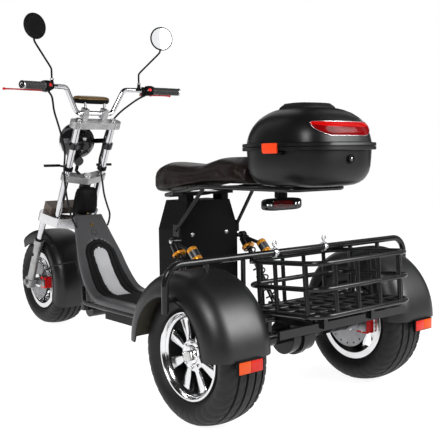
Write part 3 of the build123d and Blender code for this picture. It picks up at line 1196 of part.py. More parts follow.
# Cable routes: from the control pods to the leg shield, and from the front caliper to the down tube.
LEFT_CABLE = [
    (1216, 258, 1126), (1236, 228, 1110), (1270, 205, 1084), (1318, 176, 1046), (1346, 142, 990),
    (1352, 120, 925), (1347, 108, 862), (1349, 118, 780), (1350, 112, 690), (1342, 102, 606),
    (1322, 98, 552), (1308, 82, 512),
]
RIGHT_CABLE = [
    (1216, -258, 1126), (1236, -228, 1110), (1272, -204, 1084), (1322, -170, 1044), (1350, -130, 988),
    (1354, -104, 925), (1352, -92, 872), (1350, -66, 812), (1310, -62, 732), (1312, -68, 668),
    (1308, -84, 606), (1298, -97, 556), (1308, -82, 512),
]
BRAKE_HOSE = [
    (1612, 96, 244), (1590, 120, 257), (1552, 139, 280), (1508, 137, 304), (1452, 131, 325),
    (1396, 125, 338), (1342, 113, 350), (1310, 86, 357), (1304, 50, 356), (1314, 12, 352),
]


def cable(points, radius):
    """A cable along hand-chosen points, each bend as wide as its two runs allow."""
    bends = []
    for before, corner, after in zip(points, points[1:], points[2:]):
        run_in = Vector(*corner) - Vector(*before)
        run_out = Vector(*after) - Vector(*corner)
        half_turn = radians(run_in.get_angle(run_out)) / 2
        bends.append(0.45 * min(run_in.length, run_out.length) / tan(half_turn))
    print("cable bend radii", [round(bend) for bend in bends])
    path = FilletPolyline(*points, radius=bends)
    start = Plane(origin=path @ 0, z_dir=path % 0)
    return sweep(start * Circle(radius), path=path)


def cables():
    board = PARTS["footboard"]
    pods = PARTS["control_pods"]
    left = cable(LEFT_CABLE, CABLE_RADIUS) - board - pods
    right = cable(RIGHT_CABLE, CABLE_RADIUS) - board - pods
    hose = cable(BRAKE_HOSE, HOSE_RADIUS) - PARTS["caliper_front"] - PARTS["main_frame"]
    add("control_cables", Compound([left, right, hose]))


def write():
    os.makedirs("parts", exist_ok=True)
    shift = Pos(-ORIGIN_FROM_REAR_AXLE, 0, 0)
    for name, shape in PARTS.items():
        export_step(shift * shape, f"parts/{name}.step")


wheels()
fork()
front_fender()
rear_fenders()
handlebar()
mirrors_and_lamps()
footboard()
main_frame()
seat_pillar()
rack()
seat()
case()
rear_axle()
shocks()
basket()
hoop()
carrier()
rear_lights()
calipers()
covers()
cables()
write()
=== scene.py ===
import json
from math import atan2, cos, pi, radians, sin, sqrt, tau

import bmesh
import bpy
from mathutils import Matrix, Vector


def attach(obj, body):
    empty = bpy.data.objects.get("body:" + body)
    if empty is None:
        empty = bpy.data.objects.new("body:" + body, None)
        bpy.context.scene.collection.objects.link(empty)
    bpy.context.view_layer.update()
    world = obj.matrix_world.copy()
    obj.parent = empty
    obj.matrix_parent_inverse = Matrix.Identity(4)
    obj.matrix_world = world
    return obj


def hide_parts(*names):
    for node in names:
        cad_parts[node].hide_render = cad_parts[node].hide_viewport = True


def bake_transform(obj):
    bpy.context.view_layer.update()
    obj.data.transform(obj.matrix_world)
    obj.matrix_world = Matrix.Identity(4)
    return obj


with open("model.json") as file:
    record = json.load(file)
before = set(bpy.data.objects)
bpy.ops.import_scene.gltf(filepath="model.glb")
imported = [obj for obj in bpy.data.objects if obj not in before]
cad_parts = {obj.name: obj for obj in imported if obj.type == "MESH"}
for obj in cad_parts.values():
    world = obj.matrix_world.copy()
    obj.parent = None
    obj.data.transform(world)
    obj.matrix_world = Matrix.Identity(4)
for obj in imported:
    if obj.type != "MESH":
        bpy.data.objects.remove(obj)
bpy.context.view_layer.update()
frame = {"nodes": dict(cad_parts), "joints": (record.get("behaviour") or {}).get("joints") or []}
AXLE_X = next(joint["pos_m"][0] for joint in frame["joints"] if joint["name"] == "rear_wheel_left_spin")
MM = 0.001
COLLECTION = bpy.context.scene.collection

# Shapes are drawn in millimetres with X counted from the rear axle, +X forward, +Y to the rider's
# left and +Z up; piece() moves them into the frame. A shape is (vertices, faces, tint of each face),
# and a tint is the face's place in the piece's list of materials.
WHEELBASE = 1700
WHEEL_RADIUS = 223
TRACK_HALF = 380
RAKE = radians(27)


def to_frame(point):
    return Vector((point[0] * MM + AXLE_X, point[1] * MM, point[2] * MM))


def at(*place):
    return Matrix.Translation(Vector(place))


def spin(angle):
    return Matrix.Rotation(angle, 4, "Z")


def frame_at(origin, along, up=(0, 0, 1)):
    """Local Z runs along, local X as near to up as it can."""
    z = Vector(along).normalized()
    x = Vector(up) - z * Vector(up).dot(z)
    if x.length < 1e-4:
        x = Vector((1, 0, 0)) - z * z.x
    x.normalize()
    y = z.cross(x)
    return at(*origin) @ Matrix((x, y, z)).transposed().to_4x4()


FORK = at(WHEELBASE, 0, WHEEL_RADIUS) @ Matrix((
    (cos(RAKE), 0, -sin(RAKE)), (0, 1, 0), (sin(RAKE), 0, cos(RAKE)))).to_4x4()


def smoothstep(low, high, value):
    share = min(1.0, max(0.0, (value - low) / (high - low)))
    return share * share * (3 - 2 * share)


def between(stops, value):
    """Straight-line value between (position, value) stops."""
    if value <= stops[0][0]:
        return stops[0][1]
    for (a, low), (b, high) in zip(stops, stops[1:]):
        if value <= b:
            return low + (high - low) * (value - a) / (b - a)
    return stops[-1][1]


def flowing(points, per_run):
    """A smooth line through the points."""
    points = [Vector(p) for p in points]
    ends = [points[0] * 2 - points[1], *points, points[-1] * 2 - points[-2]]
    line = []
    for a, b, c, d in zip(ends, ends[1:], ends[2:], ends[3:]):
        for i in range(per_run):
            t = i / per_run
            line.append(0.5 * (2 * b + (c - a) * t + (2 * a - 5 * b + 4 * c - d) * t * t
                               + (3 * b - a - 3 * c + d) * t ** 3))
    line.append(points[-1])
    return line


# ---- shapes
def lofted(rings, tint=0, cap=True):
    """A skin over rings of points, closed at both ends by caps."""
    count = len(rings[0])
    verts = [Vector(p) for ring in rings for p in ring]
    faces = []
    for i in range(len(rings) - 1):
        for j in range(count):
            k = (j + 1) % count
            faces.append((i * count + j, i * count + k, (i + 1) * count + k, (i + 1) * count + j))
    if cap:
        last = (len(rings) - 1) * count
        faces += [tuple(range(count)), tuple(range(last, last + count))]
    return verts, faces, [tint] * len(faces)


def turned(profile, steps=48, tint=0, tints=None, ripple=None):
    """Turn a closed outline of (radius, along) points about local Z."""
    count = len(profile)
    verts, faces, shades = [], [], []
    for i in range(steps):
        angle = tau * i / steps
        for j, (radius, along) in enumerate(profile):
            if ripple:
                radius, along = ripple(angle, j, radius, along)
            verts.append(Vector((radius * cos(angle), radius * sin(angle), along)))
    for i in range(steps):
        a, b = i * count, (i + 1) % steps * count
        for j in range(count):
            k = (j + 1) % count
            faces.append((a + j, b + j, b + k, a + k))
            shades.append(tints[j] if tints else tint)
    return verts, faces, shades


def capped(profile, steps, tint=0):
    """Turn an outline that runs from one flat end to the other, closed along the axis."""
    return turned([(0.01, profile[0][1]), *profile, (0.01, profile[-1][1])], steps, tint)


def distances(points):
    """How far along the line each of its points lies."""
    reach = [0.0]
    for a, b in zip(points, points[1:]):
        reach.append(reach[-1] + (b - a).length)
    return reach


def rod(points, radius, sides, cap=True):
    """A round bar along the points; the radius may depend on (share of the way, angle, distance)."""
    points = [Vector(p) for p in points]
    reach = distances(points)
    along = (points[1] - points[0]).normalized()
    side = along.orthogonal().normalized()
    rings = []
    for i, point in enumerate(points):
        ahead = points[min(i + 1, len(points) - 1)] - points[max(i - 1, 0)]
        ahead.normalize()
        side = (along.rotation_difference(ahead)) @ side
        along = ahead
        other = along.cross(side)
        ring = []
        for j in range(sides):
            angle = tau * j / sides
            size = radius(reach[i] / reach[-1], angle, reach[i]) if callable(radius) else radius
            ring.append(point + (side * cos(angle) + other * sin(angle)) * size)
        rings.append(ring)
    return lofted(rings, cap=cap)


def block(x, y, z, tint=0):
    """A block from three (low, high) pairs."""
    rings = [[(x[0], y[0], h), (x[1], y[0], h), (x[1], y[1], h), (x[0], y[1], h)] for h in z]
    return lofted(rings, tint)


def can(radius, low, high, edge=1.5, steps=32, tint=0):
    """A round body along local Z with rounded rims."""
    return capped([(radius - edge, low), (radius - edge * 0.3, low + edge * 0.3), (radius, low + edge),
                   (radius, high - edge), (radius - edge * 0.3, high - edge * 0.3), (radius - edge, high)],
                   steps, tint)


def hexagon(radius, low, high, tint=0):
    corners = [(radius * cos(tau * i / 6), radius * sin(tau * i / 6)) for i in range(6)]
    return lofted([[(x, y, z) for x, y in corners] for z in (low, high)], tint)


def moved(shape, matrix):
    verts, faces, tints = shape
    return [matrix @ Vector(v) for v in verts], faces, tints


def flipped(shape):
    verts, faces, tints = shape
    return [Vector((v[0], -v[1], v[2])) for v in verts], faces, tints


def two_sided(shapes):
    return shapes + [flipped(shape) for shape in shapes]


def placed(shape, origin, along):
    """A shape drawn about local Z, put at the origin with Z along the direction."""
    return moved(shape, frame_at(origin, along))


def stacked(stations, power, steps, x=0):
    """A body over level rounded squares; stations are (height, half x, half y)."""
    return lofted([[(x + dx, dy, z) for dx, dy in squircle(half_x, half_y, power, steps)]
                   for z, half_x, half_y in stations])


def squircle(half_x, half_y, power, steps):
    """Points round a rounded square, as (x, y)."""
    points = []
    for i in range(steps):
        c, s = cos(tau * i / steps), sin(tau * i / steps)
        x = half_x * abs(c) ** (2 / power) * (1 if c >= 0 else -1)
        y = half_y * abs(s) ** (2 / power) * (1 if s >= 0 else -1)
        points.append((x, y))
    return points


def nurbs_line(points, resolution=8):
    """The smooth line of a route, read from its NURBS curve."""
    curve = bpy.data.curves.new("route", "CURVE")
    curve.dimensions = "3D"
    spline = curve.splines.new("NURBS")
    spline.points.add(len(points) - 1)
    for slot, point in zip(spline.points, points):
        slot.co = (*point, 1)
    spline.order_u = 3
    spline.use_endpoint_u = True
    spline.resolution_u = resolution
    holder = bpy.data.objects.new("route", curve)
    COLLECTION.objects.link(holder)
    bpy.context.view_layer.update()
    mesh = bpy.data.meshes.new_from_object(holder)
    line = [v.co.copy() for v in mesh.vertices]
    bpy.data.objects.remove(holder)
    bpy.data.meshes.remove(mesh)
    return line


def piece(name, shapes, materials, body, stands_for=(), bevel=0, sharp=35, rides=True):
    """One object made of shapes, cleaned, rounded and fastened to a CAD body."""
    total = bmesh.new()
    for verts, faces, tints in shapes:
        part_mesh = bpy.data.meshes.new("part")
        part_mesh.from_pydata([to_frame(v) for v in verts], [], faces)
        part_mesh.polygons.foreach_set("material_index", tints)
        part = bmesh.new()
        part.from_mesh(part_mesh)
        bmesh.ops.remove_doubles(part, verts=part.verts, dist=0.00003)
        bmesh.ops.recalc_face_normals(part, faces=part.faces)
        part.to_mesh(part_mesh)
        part.free()
        total.from_mesh(part_mesh)
        bpy.data.meshes.remove(part_mesh)
    mesh = bpy.data.meshes.new(name)
    total.to_mesh(mesh)
    total.free()
    for finish in materials:
        mesh.materials.append(finish)
    made = bpy.data.objects.new(name, mesh)
    COLLECTION.objects.link(made)
    if bevel:
        modify(made, "BEVEL", width=bevel * MM, segments=2, limit_method="ANGLE", angle_limit=radians(40))
    made.data.shade_smooth()
    made.data.set_sharp_from_angle(angle=radians(sharp))
    if rides:
        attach(made, body)
    if stands_for:
        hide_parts(*stands_for)
    return made


def modify(thing, kind, **settings):
    """Add a modifier and turn it into plain mesh."""
    modifier = thing.modifiers.new(kind.lower(), kind)
    for key, value in settings.items():
        setattr(modifier, key, value)
    bpy.context.view_layer.update()
    graph = bpy.context.evaluated_depsgraph_get()
    fresh = bpy.data.meshes.new_from_object(thing.evaluated_get(graph))
    thing.modifiers.clear()
    thing.data = fresh


# ---- materials
def add_node(tree, kind, **values):
    """A new shader node; each value sets an input, with _ for a space, or else a setting."""
    new = tree.nodes.new("ShaderNode" + kind)
    for key, value in values.items():
        socket = key.replace("_", " ")
        if socket in new.inputs:
            new.inputs[socket].default_value = value
        else:
            setattr(new, key, value)
    return new


def shader_of(name, **inputs):
    """A new material's node tree and its shader, with the inputs set; _ stands for a space."""
    made = bpy.data.materials.new(name)
    made.use_nodes = True
    shader = made.node_tree.nodes["Principled BSDF"]
    for key, value in inputs.items():
        shader.inputs[key.replace("_", " ")].default_value = value
    return made, made.node_tree, shader


def finish(name, colour, other, rough, patch, grain, depth, metal=0.0, mix=0.5, spread=0.08, spec=0.5,
           glass=0.0, cells=False, soft=0.0):
    """A procedural material in object space: colour patches, uneven roughness and a fine grain.

    The other colour fills the patches, and None stands for a darker shade. Patch and grain are noise
    scales; depth, the grain's height, and soft, the radius of softened edges, are in millimetres.
    """
    made, tree, shader = shader_of(name, Metallic=metal, Specular_IOR_Level=spec, Transmission_Weight=glass)

    def link(source, output, target, socket):
        tree.links.new(source.outputs[output], target.inputs[socket])

    place = add_node(tree, "TexCoord")
    patches = add_node(tree, "TexNoise", Scale=patch, Detail=5.0, Roughness=0.6)
    link(place, "Object", patches, "Vector")
    contrast = add_node(tree, "MapRange", From_Min=0.3, From_Max=0.7, To_Max=mix)
    link(patches, "Fac", contrast, "Value")
    if other is None:
        other = tuple(c * 0.72 for c in colour)
    blend = add_node(tree, "Mix", data_type="RGBA")
    ends = [socket for socket in blend.inputs if socket.type == "RGBA"]
    ends[0].default_value = (*colour, 1)
    ends[1].default_value = (*other, 1)
    link(contrast, "Result", blend, "Factor")
    blended = [socket for socket in blend.outputs if socket.type == "RGBA"][0]
    tree.links.new(blended, shader.inputs["Base Color"])
    uneven = add_node(tree, "TexNoise", Scale=patch * 7, Detail=3.0)
    link(place, "Object", uneven, "Vector")
    polish = add_node(tree, "MapRange", To_Min=max(0.02, rough - spread), To_Max=rough + spread)
    link(uneven, "Fac", polish, "Value")
    link(polish, "Result", shader, "Roughness")
    if cells:
        fine = add_node(tree, "TexVoronoi", Scale=grain)
    else:
        fine = add_node(tree, "TexNoise", Scale=grain, Detail=3.0)
    link(place, "Object", fine, "Vector")
    bump = add_node(tree, "Bump", Strength=0.6, Distance=depth * MM)
    link(fine, "Distance" if cells else "Fac", bump, "Height")
    if soft:
        edge = add_node(tree, "Bevel", Radius=soft * MM, samples=4)
        link(edge, "Normal", bump, "Normal")
    link(bump, "Normal", shader, "Normal")
    return made


black_paint = finish("gloss_black_paint", (0.006, 0.006, 0.0065), None, 0.16, 9, 240, 0.05, spread=0.06,
                     spec=0.3, soft=0.8)
satin_black = finish("satin_black_shell", (0.003, 0.003, 0.0032), (0.0024, 0.0024, 0.0025), 0.4, 4, 1600,
                     0.025, spread=0.05)
shield_black = finish("moulded_black_panel", (0.04, 0.04, 0.042), (0.03, 0.03, 0.031), 0.38, 5, 2200, 0.05,
                      spread=0.06, spec=0.3)
under_brown = finish("fender_underside", (0.12, 0.112, 0.082), (0.06, 0.055, 0.042), 0.6, 8, 500, 0.2,
                     mix=0.9, spec=0.2)
beak_brown = finish("brown_tinted_paint", (0.07, 0.052, 0.044), (0.04, 0.03, 0.026), 0.34, 6, 900, 0.03,
                    spec=0.16)
dark_plastic = finish("textured_dark_plastic", (0.003, 0.003, 0.0032), None, 0.48, 12, 1500, 0.09,
                      spec=0.06, soft=1.2)
gloss_bowl = finish("lamp_bowl_black", (0.006, 0.006, 0.007), None, 0.12, 12, 200, 0.03, spec=0.4, soft=1.2)
rubber = finish("moulded_rubber", (0.006, 0.006, 0.006), None, 0.6, 20, 900, 0.12, spec=0.12, soft=0.6)
grip_rubber = finish("ribbed_grip_rubber", (0.03, 0.03, 0.031), None, 0.42, 20, 900, 0.1, spec=0.35, soft=0.5)
tyre_rubber = finish("tyre_rubber", (0.006, 0.006, 0.0062), (0.01, 0.0098, 0.0095), 0.58, 14, 1100, 0.14,
                     mix=0.7, spread=0.1, spec=0.3)
case_plastic = finish("case_dark_grey", (0.0035, 0.0035, 0.0037), (0.0028, 0.0028, 0.003), 0.34, 5, 2600,
                      0.06, spread=0.04, spec=0.24)
chrome = finish("chrome_plate", (0.66, 0.66, 0.68), (0.45, 0.45, 0.47), 0.09, 7, 60, 0.02, metal=1.0,
                spread=0.04)
polished = finish("polished_alloy", (0.72, 0.72, 0.74), (0.52, 0.52, 0.54), 0.2, 12, 260, 0.03, metal=1.0,
                  mix=0.6, soft=1.0)
cast_silver = finish("cast_silver", (0.44, 0.44, 0.44), (0.26, 0.26, 0.26), 0.38, 26, 520, 0.16, metal=0.85,
                     mix=0.8, spread=0.1, soft=1.2)
wheel_silver = finish("machined_wheel", (0.78, 0.78, 0.79), (0.56, 0.56, 0.57), 0.16, 16, 900, 0.02,
                      metal=1.0, spread=0.06)
# painted shade: a near-black finish for the inner wall of the rear barrels, where shade falls behind the
# windows
wheel_painted_shade = finish("barrel_painted_shade", (0.007, 0.007, 0.0075), None, 0.4, 14, 500, 0.06, spec=0.08)
steel = finish("brushed_steel", (0.3, 0.3, 0.31), (0.18, 0.18, 0.19), 0.34, 30, 900, 0.05, metal=1.0, mix=0.8)
zinc = finish("bright_fastener", (0.62, 0.62, 0.6), (0.42, 0.42, 0.4), 0.28, 60, 900, 0.04, metal=1.0)
brass = finish("brass_fastener", (0.42, 0.28, 0.1), (0.26, 0.17, 0.07), 0.32, 60, 900, 0.04, metal=1.0)
gold = finish("gold_anodised", (0.72, 0.3, 0.025), (0.55, 0.2, 0.015), 0.3, 24, 700, 0.03, metal=0.6,
              soft=0.8)
red_paint = finish("caliper_red", (0.42, 0.006, 0.008), (0.24, 0.004, 0.006), 0.3, 24, 420, 0.08, spec=0.2,
                   soft=0.8)
lever_red = finish("anodised_red", (0.5, 0.015, 0.02), (0.32, 0.01, 0.014), 0.28, 26, 800, 0.03, metal=0.4,
                   spec=0.2)
orange = finish("orange_clip", (0.52, 0.034, 0.005), (0.42, 0.026, 0.004), 0.36, 20, 1500, 0.05, spec=0.2)
lens_red = finish("red_lens", (0.16, 0.001, 0.002), (0.04, 0.001, 0.001), 0.12, 10, 260, 0.25, mix=0.9,
                  spec=0.07, cells=True)
lens_band = finish("red_lens_band", (0.26, 0.002, 0.002), (0.4, 0.002, 0.002), 0.16, 10, 260, 0.25,
                   spec=0.08, cells=True)
tile_red = finish("red_reflector", (0.42, 0.02, 0.012), (0.32, 0.012, 0.009), 0.16, 14, 300, 0.3, mix=0.8,
                  spec=0.2, cells=True)
lens_orange = finish("orange_lens", (0.46, 0.055, 0.008), (0.36, 0.035, 0.006), 0.14, 14, 300, 0.3,
                     spec=0.2, cells=True)
lens_clear = finish("clear_lens", (0.9, 0.9, 0.9), (0.8, 0.8, 0.8), 0.05, 20, 300, 0.05, spread=0.02,
                    spec=0.4, glass=1.0)
insert_grey = finish("brushed_tread_plate", (0.38, 0.38, 0.39), (0.28, 0.28, 0.29), 0.42, 9, 420, 0.06,
                     metal=0.2, mix=0.7, spec=0.3)
leather = finish("brown_black_leather", (0.0085, 0.0054, 0.0045), (0.004, 0.0028, 0.0024), 0.38, 9, 520,
                 0.16, mix=0.9, spread=0.06, spec=0.18, cells=True)
mirror_face = finish("mirror_glass", (0.86, 0.87, 0.88), (0.8, 0.81, 0.83), 0.03, 5, 40, 0.004, metal=1.0,
                     spread=0.01)
display_top = finish("bronze_display_face", (0.14, 0.085, 0.03), (0.06, 0.038, 0.018), 0.34, 14, 800, 0.03,
                     metal=0.3, mix=0.8, spec=0.3)
tray_grey = finish("battery_box_grey", (0.016, 0.016, 0.017), (0.01, 0.01, 0.011), 0.5, 9, 900, 0.1,
                   spec=0.07, soft=2)
cable_black = finish("cable_sleeve", (0.008, 0.008, 0.008), None, 0.46, 40, 700, 0.15, spec=0.12)

# Looks of the CAD nodes that stay in view.
CAD_LOOKS = (
    (steel, "axle_front disc_front disc_rear_left disc_rear_right"),
    (zinc, "axle_rear"),
    (black_paint, "basket_carrier cargo_basket fender_hoop main_frame rear_axle_beam seat_rack"
     " shock_bodies"),
    (tray_grey, "battery_tray"),
    (dark_plastic, "indicators seat_pillar"),
    (cast_silver, "fork_bridges"),
    (chrome, "fork_tubes handlebar"),
    (gloss_bowl, "horn"),
    (polished, "yoke"),
    (beak_brown, "yoke_cover"),
)
for look, node_names in CAD_LOOKS:
    for node_name in node_names.split():
        data = frame["nodes"][node_name].data
        data.materials.clear()
        data.materials.append(look)
        data.polygons.foreach_set("material_index", [0] * len(data.polygons))


# ---- camera, floor and light
CAMERA_PLACE = Vector((-1.89282 + AXLE_X, 1.88485, 0.84))
CAMERA_LENS = 64.32
CAMERA_YAW, CAMERA_PITCH, CAMERA_ROLL = -0.69394, -0.0831, -0.01337


def make_camera():
    ahead = Vector((cos(CAMERA_YAW) * cos(CAMERA_PITCH), sin(CAMERA_YAW) * cos(CAMERA_PITCH),
                    sin(CAMERA_PITCH)))
    right = ahead.cross(Vector((0, 0, 1))).normalized()
    over = right.cross(ahead)
    turned_right = right * cos(CAMERA_ROLL) + over * sin(CAMERA_ROLL)
    turned_over = over * cos(CAMERA_ROLL) - right * sin(CAMERA_ROLL)
    lens = bpy.data.cameras.new("camera")
    lens.sensor_width = 36
    lens.lens = CAMERA_LENS
    lens.clip_start = 0.05
    camera = bpy.data.objects.new("camera", lens)
    COLLECTION.objects.link(camera)
    basis = Matrix((turned_right, turned_over, -ahead)).transposed().to_4x4()
    camera.matrix_world = Matrix.Translation(CAMERA_PLACE) @ basis
    bpy.context.scene.camera = camera
    bpy.context.scene.view_settings.view_transform = "Standard"


# A dark studio canopy that only reflections see. Each opening has its azimuth from low to high,
# then its elevation from low to high, in degrees.
CANOPY_RADIUS = 6.5
CANOPY_HEIGHT = 0.7
CANOPY_CELL = 3
CANOPY_OPENINGS = [(12, 33, -6, 60), (177, 195, 9, 24), (240, 252, -6, 70), (279, 288, -6, 70),
                   (318, 336, -6, 60)]
FLOOR_REACH = 9.0
FLOOR_GLOW = 1.25
FLOOR_GLOW_SHARE = 0.72
LAMP_AIM = (0, 0, 0.4)


def soft_lamp(name, place, aim, size, power, glossy=True):
    data = bpy.data.lights.new(name, "AREA")
    data.shape = "DISK"
    data.size = size
    data.energy = power
    lamp = bpy.data.objects.new(name, data)
    COLLECTION.objects.link(lamp)
    lamp.visible_glossy = glossy
    lamp.matrix_world = frame_at(Vector(place), Vector(place) - Vector(aim))


def any_ray(tree, *kinds):
    """An output that is 1 on a ray of one of these kinds."""
    ray = add_node(tree, "LightPath")
    total = ray.outputs[f"Is {kinds[0]} Ray"]
    for kind in kinds[1:]:
        either = add_node(tree, "Math", operation="MAXIMUM")
        tree.links.new(total, either.inputs[0])
        tree.links.new(ray.outputs[f"Is {kind} Ray"], either.inputs[1])
        total = either.outputs[0]
    return total


def mix_shaders(tree, share, first, second, target):
    pick = add_node(tree, "MixShader")
    for source, socket in zip((share, first.outputs[0], second.outputs[0]), pick.inputs):
        tree.links.new(source, socket)
    tree.links.new(pick.outputs[0], target.inputs["Surface"])


def staged(name, corners, sheets, look):
    mesh = bpy.data.meshes.new(name)
    mesh.from_pydata(corners, [], sheets)
    mesh.materials.append(look)
    made = bpy.data.objects.new(name, mesh)
    COLLECTION.objects.link(made)
    return made


def make_world():
    """White seen directly, in reflections and through glass; grey light on everything else."""
    world = bpy.data.worlds.new("studio")
    bpy.context.scene.world = world
    world.use_nodes = True
    tree = world.node_tree
    sky = tree.nodes["Background"]
    sky.inputs["Color"].default_value = (0.5, 0.5, 0.5, 1)
    sky.inputs["Strength"].default_value = 1.0
    white = add_node(tree, "Background", Color=(1, 1, 1, 1))
    seen = any_ray(tree, "Camera", "Glossy", "Transmission")
    mix_shaders(tree, seen, sky, white, tree.nodes["World Output"])


def make_floor():
    """A pale floor that glows where it is seen, so that it keeps only part of its shadow."""
    pale, tree, shader = shader_of("pale_floor", Base_Color=(0.86, 0.86, 0.86, 1), Roughness=0.9,
                                   Specular_IOR_Level=0.0)
    glow = add_node(tree, "Emission", Strength=FLOOR_GLOW)
    share = add_node(tree, "Math", operation="MULTIPLY")
    share.inputs[1].default_value = FLOOR_GLOW_SHARE
    tree.links.new(any_ray(tree, "Camera", "Glossy"), share.inputs[0])
    mix_shaders(tree, share.outputs[0], shader, glow, tree.nodes["Material Output"])
    r = FLOOR_REACH
    ground = staged("floor", [(-r, -r, 0), (r, -r, 0), (r, r, 0), (-r, r, 0)], [(0, 1, 2, 3)], pale)
    ground.location.z = -0.001


def make_canopy():
    flag, _, _ = shader_of("dark_flag", Base_Color=(0.02, 0.02, 0.02, 1), Specular_IOR_Level=0.0)
    corners, sheets = [], []
    for azimuth in range(0, 360, CANOPY_CELL):
        for elevation in range(-6, 90, CANOPY_CELL):
            if any(low <= azimuth < high and under <= elevation < over
                   for low, high, under, over in CANOPY_OPENINGS):
                continue
            sheets.append(tuple(range(len(corners), len(corners) + 4)))
            for right, up in ((0, 0), (CANOPY_CELL, 0), (CANOPY_CELL, CANOPY_CELL), (0, CANOPY_CELL)):
                a, e = radians(azimuth + right), radians(elevation + up)
                corners.append((CANOPY_RADIUS * cos(a) * cos(e), CANOPY_RADIUS * sin(a) * cos(e),
                                CANOPY_RADIUS * sin(e) + CANOPY_HEIGHT))
    canopy = staged("canopy", corners, sheets, flag)
    canopy.visible_camera = canopy.visible_diffuse = canopy.visible_shadow = False
    canopy.visible_transmission = canopy.visible_volume_scatter = False


def make_lamps():
    soft_lamp("key", (-2.3, 2.5, 2.6), LAMP_AIM, 1.4, 85)
    soft_lamp("behind", (-2.75, -1.15, 1.75), (-1, 0.3, 0.4), 1.7, 100)
    soft_lamp("left", (-0.3, 3.4, 1.0), LAMP_AIM, 1.1, 60, glossy=False)
    soft_lamp("front", (2.6, 2.6, 1.3), LAMP_AIM, 1.2, 60, glossy=False)


make_camera()
make_world()
make_floor()
make_canopy()
make_lamps()


# ---- tyres
BLOCKS = 36
TREAD_GROOVES = (-46, -16, 16, 46)
SIDE_STATIONS = [(127, 60), (143, 60), (147, 66), (153, 73), (160, 78.6), (167, 81.8), (174, 83.6),
                 (181, 83.8), (188, 82.6), (194, 80.4), (200, 77.2), (205, 73.2), (209, 69), (212.4, 64)]


def tyre_profile():
    across = []
    for middle in TREAD_GROOVES:
        across += [(middle - 4.2, 0), (middle - 2.8, 6), (middle + 2.8, 6), (middle + 4.2, 0)]
    across += [(y, 0) for y in (-60, -54, -37, -31, -25, -8, 0, 8, 25, 31, 37, 54, 60)]
    tread = [(WHEEL_RADIUS - 9 * (y / 62) ** 2 - drop, y) for y, drop in sorted(across)]
    left = [(r, -y) for r, y in SIDE_STATIONS]
    right = [(r, y) for r, y in reversed(SIDE_STATIONS)]
    return left + tread + right


def tyre_ripple(angle, index, radius, across):
    """Slanted shoulder blocks and short cuts between the tread's grooves."""
    side = abs(across)
    turn = angle / tau * BLOCKS
    if side > 50 and radius > 158:
        phase = (turn + side * 0.035 + (0.5 if across > 0 else 0)) % 1
        cut = smoothstep(0, 0.1, phase) * (1 - smoothstep(0.26, 0.36, phase))
        share = smoothstep(50, 54, side) * smoothstep(158, 166, radius)
        depth = 3.0 * cut * share
        inward = smoothstep(170, 212, radius)
        radius -= depth * inward
        across -= depth * 0.25 * (1 - inward) * (1 if across > 0 else -1)
    elif 18 < side < 44:
        phase = (turn + across * 0.03) % 1
        cut = smoothstep(0, 0.08, phase) * (1 - smoothstep(0.16, 0.24, phase))
        radius -= 2.6 * cut * smoothstep(20, 26, side) * (1 - smoothstep(36, 42, side))
    return radius, across


def make_tyres():
    ring = turned(tyre_profile(), 324, ripple=tyre_ripple)
    for name, x, y, body in (("front", WHEELBASE, 0, "front_wheel"),
                             ("rear_left", 0, TRACK_HALF, "rear_wheel_left"),
                             ("rear_right", 0, -TRACK_HALF, "rear_wheel_right")):
        piece(f"tread_{name}", [placed(ring, (x, y, WHEEL_RADIUS), (0, 1, 0))], [tyre_rubber], body,
              [f"tyre_{name}"], sharp=32)


make_tyres()


# ---- rims
BARREL = 117.7
REAR_SPOKES = 8
FRONT_FINS = 12


def barrel(dished):
    """Barrel and flanges, outer side up; a dished barrel has painted shade inside, a near-black finish on its
    inner wall.
    """
    profile = [(BARREL, -72.3), (136, -72.3), (139, -71), (140, -68), (140, -63), (138, -60.3),
               (126.7, -60.3), (126.7, 60.3), (138, 60.3), (140, 63), (140, 68), (139, 71), (136, 72.3),
               (132.5, 71.4), (130, 68), (127.5, 60), (124.5, 55), (120.5, 52)]
    if dished:
        profile += [(BARREL, 48), (BARREL, 40), (BARREL, 0)]
    else:
        profile += [(BARREL, 40), (BARREL, 12), (BARREL, -12), (BARREL, -40)]
    # the inner barrel wall of a dished barrel gets the painted shade
    painted_shade = 4 if dished else 0
    tints = [0] * (len(profile) - painted_shade) + [1] * painted_shade
    return turned(profile, 120, tints=tints)


def spoke(turn, stations, thick):
    """A convex spoke from hub to barrel; stations are (radius, half width, face height, crown)."""
    rings = []
    for radius, half, face, crown in stations:
        ring = [(radius, -half, face - thick), (radius, half, face - thick)]
        for i in range(9):
            t = pi * i / 8
            ring.append((radius, half * cos(t), face - crown + crown * sin(t) ** 0.8))
        rings.append(ring)
    return moved(lofted(rings), spin(turn))


def web_arm(turn, stations, thick):
    """A flat-faced arm between two windows; stations are (radius, half width, face height)."""
    rings = []
    for radius, half, face in stations:
        low = face - thick
        ring = [(-half, low), (-half, face - 3.5), (-half + 1.2, face - 1.2), (-half + 3.5, face),
                (0, face + 0.6), (half - 3.5, face), (half - 1.2, face - 1.2), (half, face - 3.5),
                (half, low)]
        rings.append([(radius, y, z) for y, z in ring])
    return moved(lofted(rings), spin(turn))


def hub(face):
    bore, foot = 10.6, -92
    return turned([(bore, foot), (31, foot), (34, foot + 3), (34, face - 10), (33, face - 6),
                   (29, face - 5), (27.5, face - 2), (26, face), (14, face), (bore, face - 0.5)], 60)


